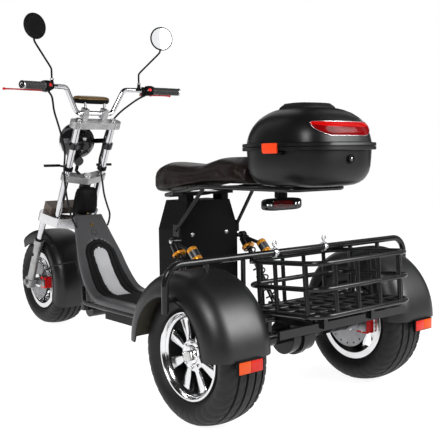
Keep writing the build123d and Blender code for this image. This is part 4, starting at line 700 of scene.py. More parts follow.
def make_rims():
    window = [(47, 0), (48.5, 5), (51, 8), (56, 10.5), (64, 12.5), (74, 14.5), (84, 17), (100, 21),
              (112, 24), (117, 23), (120, 19)]
    arm_face = [(47, 49), (70, 47), (112, 46), (120, 47)]
    rear_stations = [(radius, pi * radius / REAR_SPOKES - half, between(arm_face, radius))
                     for radius, half in window]
    # the second look is the painted shade inside the dished rear barrels
    looks = [wheel_silver, wheel_painted_shade]
    for side, out in (("left", 1), ("right", -1)):
        place = frame_at((0, out * TRACK_HALF, WHEEL_RADIUS), (0, out, 0))
        shapes = [barrel(True), hub(56)]
        shapes += [web_arm(tau * (i + 0.5) / REAR_SPOKES, rear_stations, 20) for i in range(REAR_SPOKES)]
        shapes.append(turned([(30, 29), (50, 29), (50, 46), (48.6, 48.6), (46, 49.4), (34, 50), (30, 50)],
                             96))
        for bolt, count, away in ((can(4.6, 36, 55.5, 1, 16), REAR_SPOKES, 38.5),
                                  (hexagon(3.2, 54, 59), 5, 21.6)):
            shapes += [moved(bolt, spin(tau * i / count) @ at(away, 0, 0)) for i in range(count)]
        piece(f"wheel_rear_{side}", [moved(s, place) for s in shapes], looks, f"rear_wheel_{side}",
              [f"rim_rear_{side}"], sharp=38)
    front_stations = [(28, 9, 14, 4), (40, 9, 15, 5), (60, 9.5, 16, 5), (84, 11, 16, 5), (106, 13, 17, 5),
                      (119.5, 17, 19, 5)]
    place = frame_at((WHEELBASE, 0, WHEEL_RADIUS), (0, -1, 0))
    shapes = [barrel(False), hub(19)]
    for i in range(FRONT_FINS):
        turn = tau * (i + 0.5) / FRONT_FINS
        fin = spoke(turn, front_stations, 16)
        shapes.append(fin)
        shapes.append(moved(fin, Matrix.Rotation(pi, 4, Vector((cos(turn), sin(turn), 0)))))
    piece("wheel_front", [moved(s, place) for s in shapes], looks, "front_wheel",
          ["rim_front"], sharp=38)


make_rims()


# ---- fenders
BROWN_TIP = radians(58)


def fender(centre, inner, outer, radius, shoulder, skirt, start, end, corner, flare, beads, crown=3.0):
    """A thin shell about a Y axis; angles in degrees from +X, beads are the sides with a raised bead.

    The flare gives how far the shell lifts and how much of its width is left at an angle.
    """
    wall, steps, top = 3.0, 72, radius - shoulder
    bead = {0: 1.5, 0.04: 2.6, 0.1: 2.4, 0.16: 0.2, 0.22: -0.8}
    middle = (inner + outer) / 2
    rings = []
    for i in range(steps + 1):
        angle = start + (end - start) * i / steps
        grow, narrow = flare(angle)
        # no skirt beside the tyre where the tip narrows, and a rounded corner at each end
        rise = smoothstep(0, 0.1, 1 - narrow)
        left = min(angle - start, end - angle)
        if left < corner:
            rise = max(rise, 1 - sqrt(max(0.0, 1 - (1 - left / corner) ** 2)))
        base = radius - skirt + (skirt - shoulder) * rise
        low = middle - (middle - inner) * narrow
        high = middle + (outer - middle) * narrow
        columns = []
        for side, edge in ((-1, low), (1, high)):
            column = []
            for share in (0, 0.04, 0.1, 0.16, 0.22, 0.3, 0.5, 0.75, 1):
                out = bead.get(share, 0.0) if side in beads else 0.0
                column.append((edge + side * out, base + (top - base) * share))
            for j in range(1, 9):
                t = pi / 2 * j / 9
                column.append((edge - side * shoulder * (1 - cos(t)), top + shoulder * sin(t)))
            columns.append(column)
        across = [(low + shoulder + (high - low - 2 * shoulder) * j / 6, radius) for j in range(7)]
        outside = columns[0] + across + columns[1][::-1]
        centre_y, half = (low + high) / 2, (high - low) / 2
        lifted, inside = [], []
        for y, r in outside:
            share = (y - centre_y) / half
            swell = crown * (max(0.0, 1 - share * share) - 0.6) * (1 if r > top else 0)
            outer_y, outer_r = y, r + grow + swell * (r - radius + shoulder) / shoulder
            lifted.append((outer_y, outer_r))
            share = max(-1, min(1, share))
            lean = max(0.0, min(1.0, (r - top) / shoulder))
            inward = wall * (1 if share > 0 else -1) * (1 - lean) * min(1, abs(share) * 3)
            inside.append((outer_y - inward, outer_r - wall * lean))
        a = radians(angle)
        rings.append([(centre[0] + r * cos(a), y, centre[1] + r * sin(a)) for y, r in lifted + inside[::-1]])
    verts, faces, _ = lofted(rings, cap=False)
    count = len(rings[0])
    reach = count // 2
    tints = ([0] * reach + [1] * (reach - 1) + [0]) * steps
    for first in (0, len(verts) - count):
        for j in range(reach - 1):
            faces.append((first + j, first + j + 1, first + count - 2 - j, first + count - 1 - j))
            tints.append(0)
    return verts, faces, tints


def make_fenders():
    left = fender((0, 250), 282, 527, 238, 66, 74, 0, 180, 13, lambda angle: (0.0, 1.0), (1,))
    for side, shell in (("left", left), ("right", flipped(left))):
        piece(f"fender_shell_rear_{side}", [shell], [satin_black, under_brown], "chassis",
              [f"fender_rear_{side}"], sharp=50)

    def flare(angle):
        lift = 1 - smoothstep(44, 64, angle)
        return 26 * lift ** 1.6, 1 - 0.42 * (1 - smoothstep(43, 60, angle))

    verts, faces, tints = fender((WHEELBASE, WHEEL_RADIUS), -106, 106, 252, 42, 66, 43, 206, 12, flare,
                                 (-1, 1), crown=6)
    # the tip ahead of the yoke carries the brown tint
    tinted = []
    for face, tint in zip(faces, tints):
        middle = sum((verts[i] for i in face), Vector()) / len(face)
        angle = atan2(middle.z - WHEEL_RADIUS, middle.x - WHEELBASE)
        tinted.append(2 if tint == 0 and 0 < angle < BROWN_TIP else tint)
    shapes = [(verts, faces, tinted)]
    for s in (1, -1):
        boss = capped([(7, 0), (7, 6)], 24)
        shapes.append(moved(boss, FORK @ frame_at((0, s * 104, 198), (0, s, 0))))
    piece("fender_shell_front", shapes, [satin_black, under_brown, beak_brown], "steering",
          ["fender_front"], sharp=50)


make_fenders()


# ---- fork and steering
FORK_HALF = 130


def on_fork(shape):
    return moved(shape, FORK)


def make_fork():
    sliders = []
    for s in (1, -1):
        leg = capped([(19, -20), (20.5, -17), (20.5, 26), (19, 34), (19, 150), (20, 156), (20, 168),
                      (19, 174), (19, 208), (21, 213), (24, 218), (24, 240), (22.5, 242)], 40)
        seal = capped([(20, 240), (20.5, 246), (18, 249), (16.5, 252)], 40, tint=1)
        foot = block((-22, 22), (-20, 20), (-24, 20))
        lug = placed(can(6.5, 0, 10, 1.5, 20), (0, -s * 18, 198), (0, -s, 0))
        cap = placed(can(9, 0, 6, 1.5, 24, 1), (0, s * 17, 160), (0, s, 0))
        sliders += [on_fork(moved(shape, at(0, s * FORK_HALF, 0))) for shape in (leg, seal, foot, cap, lug)]
    piece("slider_castings", sliders, [cast_silver, rubber], "steering", ["fork_sliders"],
          bevel=1.6)

    bolts = []
    for s in (1, -1):
        for radius, ahead, side, heights in ((5, -26, 128, (360, 390)), (4.4, -74, 96, (604, 620)),
                                             (4.4, -75, 94, (874, 890))):
            bolts += [placed(can(radius, -3, 4, 0.8, 18), (ahead, s * side, up), (-1, 0, 0))
                      for up in heights]
        bolts.append(moved(hexagon(9, 898, 904), at(-50, s * 90, 0)))
        bolts += [moved(can(4, 943, 947, 0.8, 18), at(ahead, s * 50, 0)) for ahead in (-34, -10)]
    bolts = [on_fork(bolt) for bolt in bolts]
    piece("fork_bolts", bolts, [zinc], "steering", sharp=40)


make_fork()


# ---- handlebar, grips, pods and levers
BAR_ELBOW = Vector((1232, 205, 1147))
BAR_END = Vector((1156, 400, 1140))
BAR_ALONG = (BAR_END - BAR_ELBOW).normalized()
GRIP = frame_at(BAR_END, BAR_ALONG)


def make_grips():
    profile = [(11.2, -124), (20.5, -124), (20.5, -120), (17, -117)]
    z = -115.0
    while z < -6:
        profile += [(17, z), (17, z + 2.6), (15.9, z + 3.2), (15.9, z + 4.6)]
        z += 5.2
    profile += [(17, -3), (16, 0), (11.2, 0)]
    cap = [(0.01, 0.3), (17, 0.3), (18, 1.4), (18, 6), (16.5, 8.3), (8, 8.3), (6.5, 6.5), (0.01, 6.5)]
    shapes = [moved(turned(profile, 40), GRIP), moved(turned(cap, 40, tint=1), GRIP)]
    piece("ribbed_grips", two_sided(shapes), [grip_rubber, polished], "steering", ["grips"],
          sharp=40)

    def pod_frame(inward):
        return GRIP @ at(0, 0, -inward)

    body = []
    for z, half in ((-36, 17), (-33, 21), (-24, 23), (-8, 23.5), (-2, 22), (0, 18)):
        body.append([(half * x, half * y, z) for x, y in squircle(1, 1.04, 3.2, 28)])
    housing = moved(lofted(body), pod_frame(126))
    collar = moved(turned([(11.2, -14), (16, -14), (16.5, -12), (16.5, -2), (16, 0), (11.2, 0)], 32),
                   pod_frame(164))
    pivot = block((1208, 1244.7), (248, 268), (1122, 1136))
    screw = moved(can(3, 22, 25, 0.6, 14, 2), pod_frame(152) @ Matrix.Rotation(pi / 2, 4, "X"))
    rear_button = placed(can(8, 19, 27, 1.5, 24, 1), pod_frame(146).translation, (-1, -0.25, 0.12))
    shapes = two_sided([housing, collar, pivot, screw, rear_button])
    rocker_frame = pod_frame(134) @ Matrix.Rotation(pi / 2, 4, "Y") @ Matrix.Rotation(pi, 4, "X")
    shapes.append(flipped(moved(can(6, 20, 26, 1.5, 20, 1), rocker_frame)))
    piece("switch_pods", shapes, [dark_plastic, lever_red, zinc], "steering",
          ["control_pods"], bevel=1.2)

    line = flowing([(1250, 246, 1128), (1256, 286, 1129), (1262, 330, 1129), (1266, 384, 1130),
                    (1270, 432, 1130)], 6)
    rings = []
    for i, point in enumerate(line):
        share = i / (len(line) - 1)
        wide = between([(0, 9), (0.12, 8.5), (0.3, 6), (0.8, 5), (0.93, 4.4), (1, 5)], share)
        thick = between([(0, 5), (0.2, 4), (0.8, 3), (1, 4)], share)
        rings.append([(point.x + wide * cos(tau * j / 14), point.y, point.z + thick * sin(tau * j / 14))
                      for j in range(14)])
    blade = lofted(rings)
    ball = moved(turned([(6 * sin(pi * j / 10) + 0.01, 6 * cos(pi * j / 10)) for j in range(11)], 20),
                 at(1270, 433, 1130))
    hinge = moved(can(6, -9, 9, 1, 20, 1), at(1250, 250, 1129))
    piece("brake_levers", two_sided([blade, ball, hinge]), [lever_red, zinc], "steering",
          ["levers"], sharp=45)


make_grips()


# ---- mirrors, display, lamps and horn
MIRROR_FOOT = Vector((1232, 227, 1158.3))
MIRROR_HEAD = Vector((1180, 326, 1389))


def make_mirrors():
    foot, head = MIRROR_FOOT, MIRROR_HEAD
    # both glasses are turned a little to the rider's right
    places = [frame_at(head, (-1, -0.15, 0.06)), frame_at((head.x, -head.y, head.z), (-1, 0.3, 0.02))]
    base = moved(capped([(9, 0), (9, 5), (7.5, 6), (7.5, 12), (6, 14), (5.4, 20)], 6), at(*foot))
    nut = moved(hexagon(8.5, 14, 22, 1), at(*foot))
    low_bend, high_bend = foot + Vector((-1, 3, 68)), head + Vector((12, -4, -66))
    route = [foot + Vector((0, 0, up)) for up in (12, 44, 60)]
    route += [low_bend, low_bend.lerp(high_bend, 0.3), low_bend.lerp(high_bend, 0.7), high_bend]
    route += [head + Vector(step) for step in ((12, 0, -56), (13, 0, -30), (13, 0, 0))]
    stem = rod(nurbs_line(route), 4.2, 12)
    ball = turned([(8 * sin(pi * j / 8) + 0.01, 8 * cos(pi * j / 8)) for j in range(9)], 20)
    joint = moved(ball, at(*(head + Vector((13, 0, 0)))))
    shell = turned([(0.01, -12), (30, -12), (46, -9.5), (53, -5.5), (55.2, -1), (54.6, 1.8), (50.4, 2.4),
                    (49.4, 0.6), (0.01, 0.2)], 64)
    glass = turned([(0.01, 0.3), (48.5, 0.3), (49.2, 0.8), (48.6, 1.7), (30, 2.2), (0.01, 2.4)], 64)
    shapes = two_sided([base, stem, joint]) + [moved(shell, place) for place in places] + two_sided([nut])
    piece("mirror_shells", shapes, [dark_plastic, zinc], "steering", ["mirrors"], sharp=45)
    piece("mirror_faces", [moved(glass, place) for place in places], [mirror_face], "steering",
          ["mirror_glasses"], sharp=45)


def make_display():
    stations = [(0, 36, 78), (1, 40, 82), (5, 45, 87), (12, 47.6, 89.6), (17, 48, 90), (17.6, 46.8, 88.8),
                (19, 46.8, 88.8), (20, 48, 90), (26, 46, 88), (30.5, 41, 82), (33, 32, 70), (34, 16, 40),
                (34.2, 0.1, 0.1)]
    steps, lower_rows = 56, 7
    verts, faces, _ = stacked(stations, 2.3, steps)
    upper_rows = len(stations) - 1 - lower_rows
    tints = [0] * steps * lower_rows + [1] * steps * upper_rows + [0, 1]
    case = moved((verts, faces, tints), at(1290, 0, 1082) @ Matrix.Rotation(radians(-8), 4, "Y"))
    post = capped([(6, -24), (6, 4)], 24, 2)
    shapes = [case] + [moved(post, at(1256, s * 50, 1082)) for s in (1, -1)]
    piece("display_unit", shapes, [dark_plastic, display_top, cast_silver], "steering",
          ["display"], sharp=40)


BOWL_BACK = (1342, 0, 913)


def make_headlight():
    place = frame_at(BOWL_BACK, (1, 0, 0))
    bowl = capped([(20, 0), (24, 2), (30, 5), (38, 7), (46, 14), (58, 26), (70, 42), (78, 60), (82, 78),
                   (83.5, 88), (84, 92), (82.5, 94), (82.5, 97)], 72)
    bezel = turned([(76, 96), (82, 96), (84, 99), (84, 106), (82, 110), (78, 111), (76, 108)], 72, 1)
    shapes = [moved(shape, place) for shape in (bowl, bezel)]
    shapes += [block((1310, 1420), sorted((s * 80, s * 88)), (902, 924)) for s in (1, -1)]
    clamp = turned([(16.2, 760), (23, 760), (24, 762), (24, 788), (23, 790), (16.2, 790)], 40)
    shapes += [on_fork(moved(clamp, at(-50, s * 90, 0))) for s in (1, -1)]
    piece("headlight_bowl", shapes, [gloss_bowl, chrome], "steering", ["headlight"],
          bevel=0.8)
    lens = turned([(0.01, 97.5), (76, 97.5), (77.5, 99), (77.5, 108), (70, 113.5), (50, 116.8), (26, 118),
                   (0.01, 118.3)], 72)
    piece("headlight_glass", [moved(lens, place)], [lens_clear], "steering",
          ["headlight_lens"], sharp=45)


make_mirrors()
make_display()
make_headlight()


# ---- cables
LEFT_CABLE = [(1216, 258, 1126), (1236, 228, 1110), (1270, 205, 1084), (1318, 176, 1046), (1346, 142, 990),
              (1352, 120, 925), (1347, 108, 862), (1349, 118, 780), (1350, 112, 690), (1342, 102, 606),
              (1322, 98, 552), (1308, 82, 512)]
RIGHT_CABLE = [(1216, -258, 1126), (1236, -228, 1110), (1272, -204, 1084), (1322, -170, 1044),
               (1350, -130, 988), (1354, -104, 925), (1352, -92, 872), (1350, -66, 812), (1310, -62, 732),
               (1312, -68, 668), (1308, -84, 606), (1298, -97, 556), (1308, -82, 512)]
BRAKE_HOSE = [(1612, 96, 244), (1590, 120, 257), (1552, 139, 280), (1508, 137, 304), (1452, 131, 325),
              (1396, 125, 338), (1342, 113, 350), (1310, 86, 357), (1304, 50, 356), (1314, 12, 352)]


def make_cables():
    def wrapped(share, angle, distance):
        phase = (distance / 9 + angle / tau) % 1
        return 4.0 + 0.7 * smoothstep(0, 0.25, phase) * (1 - smoothstep(0.6, 0.85, phase))

    looms = [rod(nurbs_line(points, 32), wrapped, 14) for points in (LEFT_CABLE, RIGHT_CABLE)]
    upper = piece("control_looms", looms, [cable_black], "steering", sharp=60, rides=False)
    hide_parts("control_cables")
    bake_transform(upper)
    hose = piece("brake_hose", [rod(nurbs_line(BRAKE_HOSE, 16), 3.4, 12)], [cable_black], "steering",
                 sharp=60, rides=False)
    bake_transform(hose)


make_cables()


# ---- leg shield and floor
SHIELD_LINE = [(1338, 566), (1327, 549), (1283, 472), (1236, 392), (1186, 313), (1132, 256), (1088, 233),
               (1040, 226), (960, 226), (880, 226), (780, 226), (680, 226), (580, 226)]
SHIELD_HALF = [(0, 74), (20, 76), (110, 94), (205, 114), (300, 125), (380, 132), (430, 142), (480, 152),
               (560, 157), (2000, 158)]
TONGUE_TOP = 168
TONGUE_END = 470
TONGUE_HALF = 36
# Neck shroud: height, rear and front x, half width.
NECK_STATIONS = [(569, 1356, 1392, 40), (572, 1348, 1402, 50), (582, 1338, 1420, 54), (604, 1327, 1414, 54),
                 (640, 1324, 1400, 53), (672, 1323, 1386, 50), (688, 1326, 1378, 44), (695, 1334, 1370, 34),
                 (697, 1344, 1362, 18)]


def make_shield():
    line = flowing([(x, 0, z) for x, z in SHIELD_LINE], 14)
    reach = distances(line)
    columns = 128
    edge = 9
    rings, face_tints = [], []

    def ridge(u, y):
        """Height over the panel and which material shows there."""
        side = abs(y)
        start = TONGUE_TOP + TONGUE_HALF
        distance = side if u > start else sqrt((u - start) ** 2 + y * y)
        spread = 1 + 0.42 * smoothstep(150, 420, u)
        if distance < TONGUE_HALF and u < TONGUE_END:
            return -0.4, 1
        scaled = (distance - TONGUE_HALF) / spread
        if u > TONGUE_END - 30:
            blend = smoothstep(TONGUE_END - 30, TONGUE_END + 30, u)
            floor_rib = 3.2 * (0.5 + 0.5 * cos(side * tau / 15)) * (1 - smoothstep(104, 112, side))
        else:
            blend, floor_rib = 0.0, 0.0
        rib = 0.0
        if scaled > 0:
            for low, high in ((4.5, 17), (23, 35.5)):
                middle, half = (low + high) / 2, (high - low) / 2
                rib += 5.2 * max(0.0, 1 - ((scaled - middle) / half) ** 4)
            for middle in (2.2, 20, 38):
                rib -= 3.0 * max(0.0, 1 - ((scaled - middle) / 3) ** 2)
        height = rib * (1 - blend) + floor_rib * blend
        return height, 0 if scaled > 42 else 2

    for i, point in enumerate(line):
        u = reach[i]
        half = between(SHIELD_HALF, u)
        ahead = (line[min(i + 1, len(line) - 1)] - line[max(i - 1, 0)]).normalized()
        normal = Vector((-ahead.z, 0, ahead.x))
        if normal.z < 0:
            normal = -normal
        ring, tints = [], []
        for j in range(columns + 1):
            y = -half + edge + 2 * (half - edge) * j / columns
            height, tint = ridge(u, y)
            ring.append(point + normal * height + Vector((0, y, 0)))
            tints.append(tint)
        for t in (30, 60, 90):
            a = radians(t)
            ring.append(point - normal * edge * (1 - cos(a)) + Vector((0, half - edge + edge * sin(a), 0)))
        ring += [point - normal * 22 + Vector((0, half, 0)), point - normal * 24 + Vector((0, half - 2, 0)),
                 point - normal * 24 + Vector((0, -half + 2, 0)), point - normal * 22 + Vector((0, -half, 0))]
        for t in (90, 60, 30):
            a = radians(t)
            ring.append(point - normal * edge * (1 - cos(a)) + Vector((0, -half + edge - edge * sin(a), 0)))
        tints += [0] * (len(ring) - len(tints))
        rings.append(ring)
        face_tints.append(tints)
    verts, faces, _ = lofted(rings)
    tints = [tint for row in face_tints[:-1] for tint in row] + [0, 0]
    piece("leg_shield", [(verts, faces, tints)], [shield_black, insert_grey, rubber], "chassis",
          ["footboard", "foot_mat", "foot_insert"], sharp=60)

    # key switch and a ring of small fixings on the upper panel
    def on_shield(height):
        x = between([(z, x) for x, z in reversed(SHIELD_LINE)], height)
        return frame_at((x, 0, height), (-0.84, 0, 0.54))

    key = capped([(9, -4), (9, 2), (8, 3.4), (6, 3.4), (5, 2)], 32, 1)
    key_slot = block((-5, 5), (-1, 1), (1.5, 3), 2)
    shapes = [moved(shape, on_shield(520)) for shape in (key, key_slot)]
    for i in range(6):
        fixing = can(2.6, -3, 1.2, 0.6, 16, 2)
        shapes.append(moved(fixing, on_shield(487) @ (spin(tau * i / 6) @ at(14, 0, 0))))
    piece("shield_fittings", shapes, [zinc, brass, dark_plastic], "chassis", sharp=40)


def make_neck():
    rings = []
    for z, rear, ahead, half in NECK_STATIONS:
        middle, reach = (rear + ahead) / 2, (ahead - rear) / 2
        rings.append([(middle + x, y, z) for x, y in squircle(reach, half, 3.2, 48)])
    piece("neck_shroud", [lofted(rings)], [dark_plastic], "chassis", ["neck_cover"], sharp=50)
    shapes = [placed(can(6, -4, 4, 1, 20), (1350, 0, 574), (-0.7, 0, 0.7)),
              block((1334, 1352), (12, 30), (600, 634), 1), block((1338, 1354), (-30, -10), (590, 630), 1),
              placed(can(7, 0, 30, 1.5, 20, 1), (1334, -4, 640), (-0.4, -0.4, 1))]
    piece("neck_connectors", shapes, [brass, dark_plastic], "chassis", bevel=1)


make_shield()
make_neck()


# ---- seat
SEAT_TOP = [(118, 806), (150, 822), (190, 829), (290, 828), (340, 816), (395, 803), (470, 802), (560, 808),
            (620, 812), (655, 808), (680, 786), (690, 760)]
SEAT_BOTTOM = [(118, 734), (336, 734), (430, 722), (598, 694), (655, 694), (680, 706), (690, 728)]
SEAT_HALF = [(118, 98), (150, 108), (200, 112), (300, 114), (380, 118), (480, 123), (580, 122), (630, 114),
             (665, 96), (684, 72), (690, 52)]


SEAT_PUFF = 0.007
CUSHION_CELL = 0.006
BASE_BAND = 0.012
CLOTH_STEPS = 20


def seat_ring(x, shrink):
    low, high, half = between(SEAT_BOTTOM, x), between(SEAT_TOP, x), between(SEAT_HALF, x)
    low, high, half = low + shrink * 0.4, high - shrink, half - shrink
    middle, rise = (low + high) / 2, (high - low) / 2
    ring = []
    for i in range(40):
        c, s = cos(tau * i / 40), sin(tau * i / 40)
        power = 2.5 if s > 0 else 5.0
        y = half * abs(c) ** (2 / power) * (1 if c > 0 else -1)
        z = middle + rise * abs(s) ** (2 / power) * (1 if s > 0 else -1)
        ring.append((x, y, z))
    return ring


def make_seat():
    stations = sorted({123, 126, 132, 142, *range(162, 643, 12), 662, 670, 677, 682, 685})
    body = lofted([seat_ring(x, 5) for x in stations])
    cushion = piece("seat_cushion", [body], [leather], "chassis", sharp=180)
    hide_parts("seat")
    modify(cushion, "REMESH", mode="VOXEL", voxel_size=CUSHION_CELL)
    modify(cushion, "SMOOTH", factor=0.5, iterations=4)
    inflate(cushion, SEAT_PUFF)
    modify(cushion, "SUBSURF", levels=1, render_levels=1)
    cushion.data.materials.clear()
    cushion.data.materials.append(leather)
    carve_seams(cushion)
    cushion.data.shade_smooth()


def inflate(thing, cap):
    """Cloth under pressure for a few steps; no point moves further than the cap, and the base stays put."""
    rest = [v.co.copy() for v in thing.data.vertices]
    pins = thing.vertex_groups.new(name="base")
    for i, v in enumerate(rest):
        bottom = between(SEAT_BOTTOM, (v.x - AXLE_X) / MM) * MM
        if v.z < bottom + BASE_BAND:
            pins.add([i], 1.0, "REPLACE")
    cloth = thing.modifiers.new("cloth", "CLOTH")
    cloth.point_cache.frame_end = CLOTH_STEPS
    cloth = cloth.settings
    cloth.use_pressure = True
    cloth.uniform_pressure_force = 4
    cloth.effector_weights.gravity = 0
    cloth.vertex_group_mass = "base"
    cloth.quality = 4
    scene = bpy.context.scene
    for step in range(1, CLOTH_STEPS + 1):
        scene.frame_set(step)
    graph = bpy.context.evaluated_depsgraph_get()
    swollen = bpy.data.meshes.new_from_object(thing.evaluated_get(graph))
    thing.modifiers.clear()
    for point, old, new in zip(thing.data.vertices, rest, swollen.vertices):
        move = new.co - old
        if move.length > cap:
            move = move.normalized() * cap
        point.co = old + move
    bpy.data.meshes.remove(swollen)
    scene.frame_set(1)
    thing.vertex_groups.clear()


SEAM_X = 372
SEAM_BOW = 22
SIDE_SEAM = 0.62


def carve_seams(thing):
    """Sewn lines pressed into the cover: one across at the step, and one along each side."""
    for v in thing.data.vertices:
        x, y, z = (v.co.x - AXLE_X) / MM, v.co.y / MM, v.co.z / MM
        low, high = between(SEAT_BOTTOM, x), between(SEAT_TOP, x)
        share = (z - low) / max(1.0, high - low)
        across = x - SEAM_X - SEAM_BOW * (y / 110) ** 2
        depth = 1.1 * max(0.0, 1 - (across / 5) ** 2) * smoothstep(0.45, 0.7, share)
        side = (share - SIDE_SEAM) * (high - low)
        outward = abs(y) / between(SEAT_HALF, x) + (0.2 if x > 640 else 0)
        depth += 0.9 * max(0.0, 1 - (side / 4) ** 2) * smoothstep(0.6, 0.75, outward)
        if depth:
            v.co -= v.normal * depth * MM


make_seat()


# ---- top case
CASE_X = -88
CASE_POWER = 3.2
CASE_WALL = 4
HINGE_X = 111
SPLIT = 861
LID_RISE = [(861.8, 178), (884, 177.6), (898, 175.5), (912, 171.5), (926, 165.5), (940, 157), (952, 147),
            (963, 134), (972, 120), (979, 105), (983.5, 90), (986.4, 70), (987.6, 44), (988, 14),
            (988.05, 0.1)]
BASE_DROP = [(861, 178), (820, 177.5), (796, 175.5), (778, 171.5), (764, 165), (752, 156), (743, 144),
             (737, 130), (734, 112), (733.4, 60), (733.4, 0.1)]


def case_ring(z, half, power=CASE_POWER):
    return [(CASE_X + x, y, z) for x, y in squircle(half, half, power, 88)]


def lid_point(y, z, out=0.0):
    """A point of the lid's rear face, or a little outside it, at a side distance and height."""
    half = between(LID_RISE, z) + out
    share = min(1.0, abs(y) / half)
    return CASE_X - half * max(0.0, 1 - share ** CASE_POWER) ** (1 / CASE_POWER), y, z


def hinge_parts(base):
    shapes = []
    for s in (1, -1):
        low, high = (52, 70) if base else (33, 51)
        knuckle = placed(can(6, low, high, 0.8, 24), (HINGE_X, 0, SPLIT), (0, s, 0))
        strap_z = (SPLIT - 6, SPLIT - 1) if base else (SPLIT + 1, SPLIT + 6)
        shapes += [knuckle, block((HINGE_X - 12, HINGE_X), sorted((s * low, s * high)), strap_z)]
    return shapes


def case_shell(stations, wall, closes, flange, powers=((0, CASE_POWER),)):
    """Half a case: its inside from the closed end to the rim, the flange, then the outside."""
    inner = [(z - (wall if closes(z) else 0), max(0.1, half - abs(wall))) for z, half in stations]
    rings = [case_ring(z, half) for z, half in [*reversed(inner), *flange]]
    return lofted(rings + [case_ring(z, half, between(powers, z)) for z, half in stations[1:]])


def make_case():
    flange = [(861.8, 191), (862.6, 192), (871, 192), (873, 190.4), (873.6, 181), (875, 178.8)]
    dome = case_shell(LID_RISE, CASE_WALL, lambda z: z > 900, flange, [(880, 3.2), (988, 2.6)])
    piece("case_dome", [dome] + hinge_parts(False), [case_plastic], "case_lid",
          ["case_lid"], sharp=40)
    flange = [(861, 191), (860.2, 192), (851, 192), (849.4, 190.4), (849, 179)]
    bowl = case_shell(BASE_DROP, -CASE_WALL, lambda z: z < 790, flange)
    pins = [placed(can(2.5, 33, 70, 0.4, 16), (HINGE_X, 0, SPLIT), (0, s, 0)) for s in (1, -1)]
    piece("case_bowl", [bowl] + hinge_parts(True) + pins, [case_plastic], "chassis",
          ["case_base"], sharp=40)


def make_reflector():
    """The lid's lens with rounded ends, its polished trim and the creases above it."""
    columns = 96
    rings = []
    for i in range(columns + 1):
        share = -1 + 2 * i / columns
        y = 132 * share
        tip = 1 - sqrt(1 - max(0.0, (abs(share) - 0.9) / 0.1) ** 2)
        top = 938 - 9 * tip
        bottom = 894 + 22 * max(0.0, (abs(share) - 0.6) / 0.4) ** 1.5 + 9 * tip
        outer, back = [], []
        for j in range(9):
            z = bottom + (top - bottom) * j / 8
            bulge = 4.6 - 3.4 * abs(2 * j / 8 - 1) ** 4 + (0.9 if j == 5 else 0)
            bulge *= 1 - 0.6 * abs(share) ** 8
            outer.append(lid_point(y, z, bulge))
            back.append(lid_point(y, z, 0.4))
        rings.append(outer + list(reversed(back)))
    verts, faces, _ = lofted(rings)
    band = [1 if 5 <= j < 8 else 0 for j in range(len(rings[0]))]
    piece("lid_reflector", [(verts, faces, band * columns + [0, 0])], [lens_red, lens_band], "case_lid",
          ["case_lens"], sharp=60)
    loop = [Vector(ring[0]) for ring in rings] + [Vector(ring[8]) for ring in reversed(rings)]
    loop.append(loop[0])
    piece("reflector_trim", [rod(loop, 0.9, 8, cap=False)], [polished], "case_lid", sharp=60)

    creases = []
    for s in (1, -1):
        run = [(s * between([(940, 104), (970, 66)], z), z) for z in range(940, 971, 3)]
        creases.append(rod([lid_point(y, z) for y, z in run], 0.9, 8))
    piece("lid_creases", creases, [rubber], "case_lid", sharp=60)


def make_rest_pad():
    stations = [(978, 74, 79), (986, 75, 80), (990, 73, 78), (996, 67, 72), (1000, 61, 66),
                (1001.6, 54, 59), (1002, 40, 44), (1002.2, 0.1, 0.1)]
    shapes = [stacked(stations, 4, 64, CASE_X + 6)]
    for y in range(-56, 57, 14):
        half = 62 - 0.004 * y * y
        rib = rod([(-half, y, 0), (-half * 0.5, y, 1.2), (0, y, 1.6), (half * 0.5, y, 1.2), (half, y, 0)],
                  2.6, 10)
        shapes.append(moved(rib, at(CASE_X + 6, 0, 999.8)))
    piece("case_rest_pad", shapes, [rubber], "case_lid", ["case_pad"], sharp=50)


CLIP_X = -98
CLIP_Y = 192.3
LOCK_PLACE = (-266.3, 0, 821)


def make_fasteners():
    profile = [(-20, 0), (-20, 5.5), (-14, 7), (8, 7), (12, 5), (12, 0)]
    shapes = []
    for s in (1, -1):
        rings = []
        for x, taper in ((-42, 0.9), (-39, 1), (-8, 1.02), (20, 1), (24, 0.9)):
            rings.append([(CLIP_X + x + (up * 0.08), s * CLIP_Y + s * out * taper, SPLIT + up * taper)
                          for up, out in profile])
        shapes += [lofted(rings), block((CLIP_X - 56, CLIP_X - 6), sorted((s * 180, s * 192)), (836, 846), 1)]
    lock = capped([(14, 0), (14, 5), (12.5, 7), (10, 7), (9.5, 5.4)], 40, 1)
    lock_slot = block((-5.5, 5.5), (-1.8, 1.8), (5, 6.6), 2)
    shapes += [placed(shape, LOCK_PLACE, (-1, 0, 0)) for shape in (lock, lock_slot)]
    piece("case_fasteners", shapes, [orange, dark_plastic, zinc], "chassis",
          ["case_latches"], bevel=1)


make_case()
make_reflector()
make_rest_pad()
make_fasteners()


# ---- rear suspension, calipers and lights
SHOCK_TOP = Vector((437, 169, 523))
SHOCK_FOOT = Vector((245, 169, 257.3))
COIL_TURNS = 8.5


